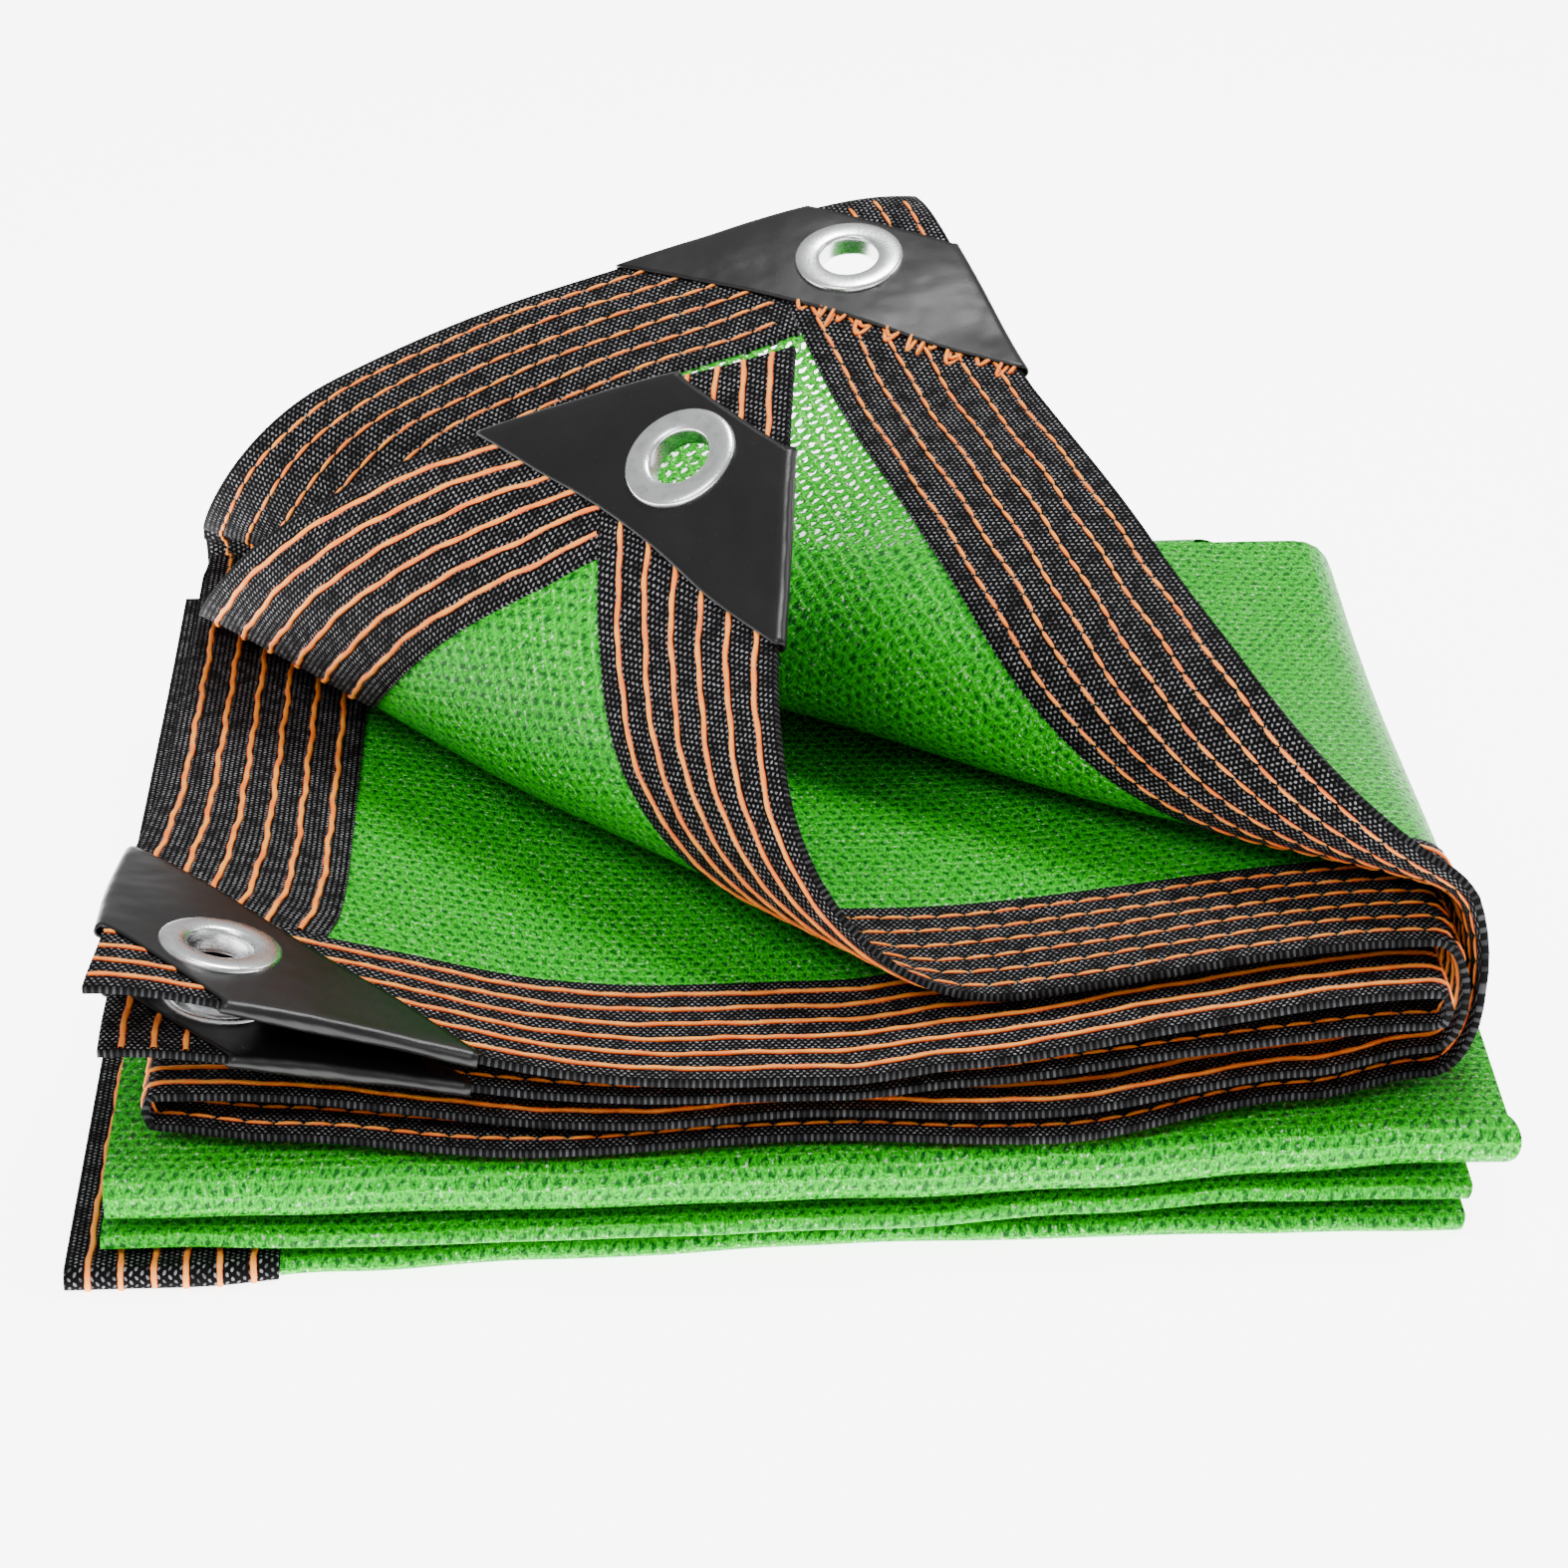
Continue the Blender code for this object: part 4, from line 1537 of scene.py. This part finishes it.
    def loose_ends(self, packet: Packet, name: str) -> list[MeshData]:
        """Let uneven loops of thread stick out from under a patch's long edge.

        Args:
            packet: The shape it lies on.
            name: The ply whose corner the patch covers.

        Returns:
            The threads.
        """
        left = packet.plies[name].left
        spot = np.linspace(0.0, 1.0, 9)
        parts = []
        for k in range(self.loops):
            share = 0.02 + self.loops_share * k / (self.loops - 1)
            lean = 2.6 * math.sin(k * 2.7) * spot
            reach = (2.3 + 1.1 * math.sin(k * 1.9)) * np.sin(spot * math.pi) - 0.8
            u = self.patch_edge * (1.0 - share) + lean + reach
            v = self.patch_edge * share - lean + reach
            rise = (0.95 + 0.35 * np.sin(spot * 5.0 + k))[:, None]
            up = packet.up(name, left + u, v)
            points = packet.ply(name, left + u, v) - up * rise
            parts.append(self.tube(points, -up, np.full(len(spot), 0.8), spot * 5.0 + k))
        return parts

    def build(self, tape: EdgeTape, across: Array,
              material: Material) -> Object:
        """Make the rows of one tape as one object.

        Args:
            tape: The tape.
            across: Distance of each of the tape's columns from its outer edge.
            material: The thread's finish.

        Returns:
            The threads' object.
        """
        parts = self.on_tape(tape, across)
        if tape.node == "tape_front_ab":
            parts += self.loose_ends(tape.packet, "a")
        if tape.node == "tape_front_cd":
            parts += self.over_corner(tape.packet, "d")
        data = MeshData.joined(parts)
        data.points[:, 2] = np.maximum(data.points[:, 2], self.lowest)
        item = data.place(tape.name + "_thread", tape.packet, material)
        declare(item)
        return item


@dataclass
class Tapes:
    """All the tape strips with their threads."""

    packet: Packet
    cloth: ShadeCloth
    columns: int = 21
    step: float = 1.9
    gap: float = 0.3
    turn_rows: int = 17
    bc_fold_flat: float = 2.0
    bc_flat: float = 460.0
    base_back: float = 111.0
    finish: TapeFinish = field(default_factory=TapeFinish)
    thread: ThreadFinish = field(default_factory=ThreadFinish)
    rows: SewingRows = field(default_factory=SewingRows)

    def across(self) -> Array:
        """Give the distance of each column from the tape's outer edge."""
        return np.linspace(0.0, self.packet.tape_width, self.columns)

    def front(self, plies: str) -> Sheet:
        """Lay the front tape of one strand from tip to tip.

        Args:
            plies: The strand's plies.

        Returns:
            The grid.
        """
        v = self.across()
        grid = GridRows()
        for station in Strand(self.packet, plies, self.step).stations:
            grid.add(self.packet.ply(station.ply, station.x, v), flat_row(station.length, v),
                     self.packet.hole_distance(station.ply, station.x, v))
        return grid.sheet()

    def side_rows(self, name: str) -> GridRows:
        """Lay the left tape of one ply, from the front tape to the back edge.

        Args:
            name: The ply.

        Returns:
            Its rows.
        """
        packet = self.packet
        row = packet.plies[name]
        u = self.across()
        depth = packet.depth_of(name, row.left + u)
        start = packet.tape_width + self.gap
        count = int((row.back_left - row.front_left - start) / self.step)
        grid = GridRows()
        for share in np.linspace(0.0, 1.0, count):
            v = start + (depth - start) * share
            grid.add(packet.ply(name, row.left + u, v), flat_row(v, u))
        return grid

    def left_a(self) -> Sheet:
        """Lay ply a's left tape and carry it round the wide back turn.

        Returns:
            The grid.
        """
        grid = self.side_rows("a")
        u = self.across()
        start = grid.flats[-1][0, 0]
        for k in range(1, self.turn_rows - 1):
            angle = math.pi * k / self.turn_rows
            points = self.cloth.wide_turn(self.packet.plies["a"].left + u, angle)
            grid.add(points, flat_row(start + angle * self.cloth.wide_radius(), u))
        return grid.sheet()

    def left_bc(self) -> Sheet:
        """Lay the left tape of plies b and c, one strip round the tight back fold.

        Returns:
            The grid.
        """
        grid = self.side_rows("b")
        second = self.side_rows("c")
        start = grid.points[-1]
        flat = grid.flats[-1]
        for angle in np.linspace(0.0, math.pi, self.cloth.fold_rows)[1:-1]:
            grid.add(fold_row(start, second.points[-1], angle),
                     flat + np.array([angle * self.bc_fold_flat, 0.0]))
        for points, flat in zip(second.points[::-1], second.flats[::-1]):
            grid.add(points, flat * np.array([-1.0, 1.0]) + self.bc_flat)
        return grid.sheet()

    def base(self) -> Sheet:
        """Lay the left tape of the lowest fold, round its front.

        Returns:
            The grid.
        """
        cloth = self.cloth
        right = cloth.lower[-1].left_start - self.gap
        top = cloth.lower[4].height
        share = np.linspace(0.0, 1.0, self.columns)
        rows = []
        for row in cloth.path():
            if row.z <= top + 0.01 and row.left > right and row.y < self.base_back:
                strip = replace(row, left=cloth.lower_left_tape, right=right)
                rows.append(cloth.lower_row(strip, share))
        points = np.array(rows)
        lengths = lengths_along(points[:, self.columns // 2])
        u = share * self.packet.tape_width
        return Sheet(points, np.array([flat_row(length, u) for length in lengths]))

    def build(self) -> list[Object]:
        """Make every strip and its threads, and declare each strip.

        Returns:
            The strips and their threads.
        """
        tape_material = self.finish.material("tape_black")
        thread_material = self.thread.material("thread_orange")
        strips = [
            ("edge_tape_outer", "tape_front_ab", self.front("befa"), -1.0),
            ("edge_tape_inner", "tape_front_cd", self.front("cd"), 1.0),
            ("left_tape_a", "tape_left_a", self.left_a(), -1.0),
            ("left_tape_bc", "tape_left_bc", self.left_bc(), 1.0),
            ("left_tape_d", "tape_left_d", self.side_rows("d").sheet(), 1.0),
            ("left_tape_base", "tape_left_base", self.base(), 1.0),
        ]
        made = []
        for name, node, sheet, running in strips:
            tape = EdgeTape(name, node, sheet, running, self.packet)
            item = tape.build(tape_material)
            sewing = self.rows.build(tape, self.across(), thread_material)
            size = (self.packet.tape_width * MM, round(tape.length(), 3))
            log.info("%s: %.3f m long", name, tape.length())
            made += [item, sewing]
        return made


@dataclass
class CornerPatch:
    """A black sleeve across one corner, folded round both of its outer edges."""

    name: str
    packet: Packet
    near: float = 25.0
    far: float = 70.0
    rows: int = 34
    bend_rows: int = 9
    rise: float = 1.42
    thickness: float = 0.6
    hole_radius: float = 8.2
    edge_fade: float = 5.0
    edge_drop: float = 0.10
    ripple: float = 0.14
    flat_rise: float = 3.0

    def section(self, near: float) -> Array:
        """Give the sleeve's section at one distance from the tip.

        Args:
            near: The sum of both flat distances from the tip.

        Returns:
            Rows of u, v and height over the tape's middle.
        """
        shares = np.linspace(0.0, 1.0, self.rows)
        angles = np.radians(np.linspace(0.0, 180.0, self.bend_rows)[1:-1])
        top = np.stack([near * (1.0 - shares), near * shares, 0.0 * shares + self.rise], -1)
        left = np.stack([-self.rise * np.sin(angles), near + 0.0 * angles,
                         self.rise * np.cos(angles)], -1)
        low = top[::-1] * np.array([1.0, 1.0, -1.0])
        return np.concatenate([top, left, low, left[::-1, [1, 0, 2]]])

    def build(self, material: Material) -> Object:
        """Make the patch.

        Args:
            material: Its finish.

        Returns:
            The patch object.
        """
        packet = self.packet
        left = packet.plies[self.name].left
        grid = GridRows()
        for near in np.linspace(self.near, self.far, self.rows):
            u, v, h = self.section(near).T
            inset = np.minimum(self.far - near, near - self.near) / self.edge_fade
            edge = 1.0 - np.minimum(1.0, inset)
            wave = np.sin(u / 5.3 + v / 7.1) * np.sign(h)
            h = h * (1.0 - self.edge_drop * edge) + self.ripple * wave
            point = packet.ply(self.name, left + u, v)
            point = point + h[:, None] * packet.up(self.name, left + u, v)
            grid.add(point, flat_row(u + h * self.flat_rise, v),
                     packet.hole_distance(self.name, left + u, v))
        data = grid.sheet(wrapped=True).thick(self.thickness, self.hole_radius)
        item = data.place("corner_patch_" + self.name, packet, material)
        declare(item, "patch_" + self.name)
        return item


@dataclass
class Eyelet:
    """A two-part metal ring: domed flange above, barrel and washer below."""

    name: str
    packet: Packet
    outer: float = 12.0
    bore: float = 6.5
    top: float = 2.95
    inner_face: float = 1.75
    dome_steps: int = 12
    dome_power: float = 0.55
    segments: int = 96
    uneven: float = 0.006
    flat_step: float = 1.1
    flat_turn: float = 9.0

    def profile(self) -> Array:
        """Give the turned section.

        Returns:
            Rows of radius and height.
        """
        middle = (self.outer + self.bore) / 2.0
        half = (self.outer - self.bore) / 2.0
        dome = []
        for k in range(self.dome_steps + 1):
            angle = math.pi * k / self.dome_steps
            bulge = math.sin(angle) ** self.dome_power
            height = self.inner_face + (self.top - self.inner_face) * bulge
            dome.append((middle - half * math.cos(angle), height))
        return np.array(dome + [(radius, -height) for radius, height in dome[::-1]])

    def build(self, material: Material) -> Object:
        """Make the ring.

        Args:
            material: Its finish.

        Returns:
            The eyelet object.
        """
        centre, along, inward, up = self.packet.eyes[self.name]
        profile = self.profile()
        lengths = np.arange(len(profile)) * self.flat_step
        grid = GridRows()
        for angle in np.linspace(0.0, 2.0 * math.pi, self.segments + 1):
            side = math.cos(angle) * along + math.sin(angle) * inward
            radius = profile[:, :1] * (1.0 + self.uneven * math.sin(angle * 3.0))
            points = centre + radius * side + profile[:, 1:] * up
            grid.add(points, flat_row(lengths, angle * self.flat_turn))
        data = grid.sheet(wrapped=True).single()
        item = data.place("eyelet_ring_" + self.name, self.packet, material)
        declare(item, "eyelet_" + self.name)
        return item


@dataclass(frozen=True)
class Lamp:
    """A soft square lamp: its name, place and side in metres, and power in watts."""

    name: str
    place: Triple
    side: float
    power: float


@dataclass
class Studio:
    """Pale floor, soft light and the camera at the photograph's angle."""

    packet: Packet
    azimuth: float = -1.863
    elevation: float = 24.81
    distance: float = 1096.0
    target: Triple = (2.01, 0.0, 39.22)
    lens: float = 120.1
    sensor: float = 36.0
    floor_half: float = 3.0
    sky: float = 0.66
    aim: Triple = (0.0, 0.0, 0.05)
    lamps: tuple[Lamp, ...] = (
        Lamp("key", (-0.45, -0.6, 0.9), 0.5, 8.0),
        Lamp("top", (0.15, 0.3, 1.15), 0.45, 18.0),
        Lamp("rim", (0.8, 0.2, 0.6), 0.4, 3.0),
    )

    @staticmethod
    def hang(name: str, data: bpy.types.ID, place: Vector, target: Vector) -> Object:
        """Put a lamp or camera in the scene and turn it to a target.

        Args:
            name: The object's name.
            data: The lamp's or camera's data.
            place: Where it goes.
            target: Where it looks.

        Returns:
            The new object.
        """
        item = bpy.data.objects.new(name, data)
        item.location = place
        item.rotation_euler = (target - place).to_track_quat("-Z", "Y").to_euler()
        bpy.context.scene.collection.objects.link(item)
        return item

    def floor(self) -> None:
        """Lay the floor."""
        side = self.floor_half
        mesh = bpy.data.meshes.new("floor")
        corners = [(-side, -side, 0.0), (side, -side, 0.0), (side, side, 0.0), (-side, side, 0.0)]
        mesh.from_pydata(corners, [], [(0, 1, 2, 3)])
        mesh.materials.append(FloorFinish().material("floor_pale"))
        item = bpy.data.objects.new("floor", mesh)
        bpy.context.scene.collection.objects.link(item)

    def camera(self) -> None:
        """Place the camera."""
        turn = math.radians(self.azimuth)
        high = math.radians(self.elevation)
        target = (np.array(self.target) - self.packet.shift()) * MM
        away = np.array([math.sin(turn) * math.cos(high), -math.cos(turn) * math.cos(high),
                         math.sin(high)])
        data = bpy.data.cameras.new("camera")
        data.sensor_width = self.sensor
        data.lens = self.lens
        place = Vector(target + away * self.distance * MM)
        bpy.context.scene.camera = self.hang("camera", data, place, Vector(target))

    def build(self) -> None:
        """Set up the floor, the camera, the sky and the lamps."""
        self.floor()
        self.camera()
        world = bpy.data.worlds.new("studio")
        world.use_nodes = True
        sky = world.node_tree.nodes["Background"]
        sky.inputs["Color"].default_value = (1.0, 1.0, 1.0, 1.0)
        sky.inputs["Strength"].default_value = self.sky
        bpy.context.scene.world = world
        for lamp in self.lamps:
            data = bpy.data.lights.new(lamp.name, "AREA")
            data.size = lamp.side
            data.energy = lamp.power
            self.hang(lamp.name, data, Vector(lamp.place), Vector(self.aim))


def main() -> None:
    """Build the cloth, its tapes, patches and eyelets, and the studio."""
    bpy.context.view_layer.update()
    packet = Packet()
    cloth = ShadeCloth(packet)
    pieces = [cloth.build()] + Tapes(packet, cloth).build()
    patch_material = PatchFinish().material("patch_black")
    metal = MetalFinish().material("eyelet_metal")
    for name in packet.corners:
        pieces.append(CornerPatch(name, packet).build(patch_material))
        pieces.append(Eyelet(name, packet).build(metal))
    Studio(packet).build()
    for item in pieces:
        log.info("%s: %d faces", item.name, len(item.data.polygons))
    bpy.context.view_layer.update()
    log.info("%d pieces built", len(pieces))


if __name__ == "__main__":
    main()
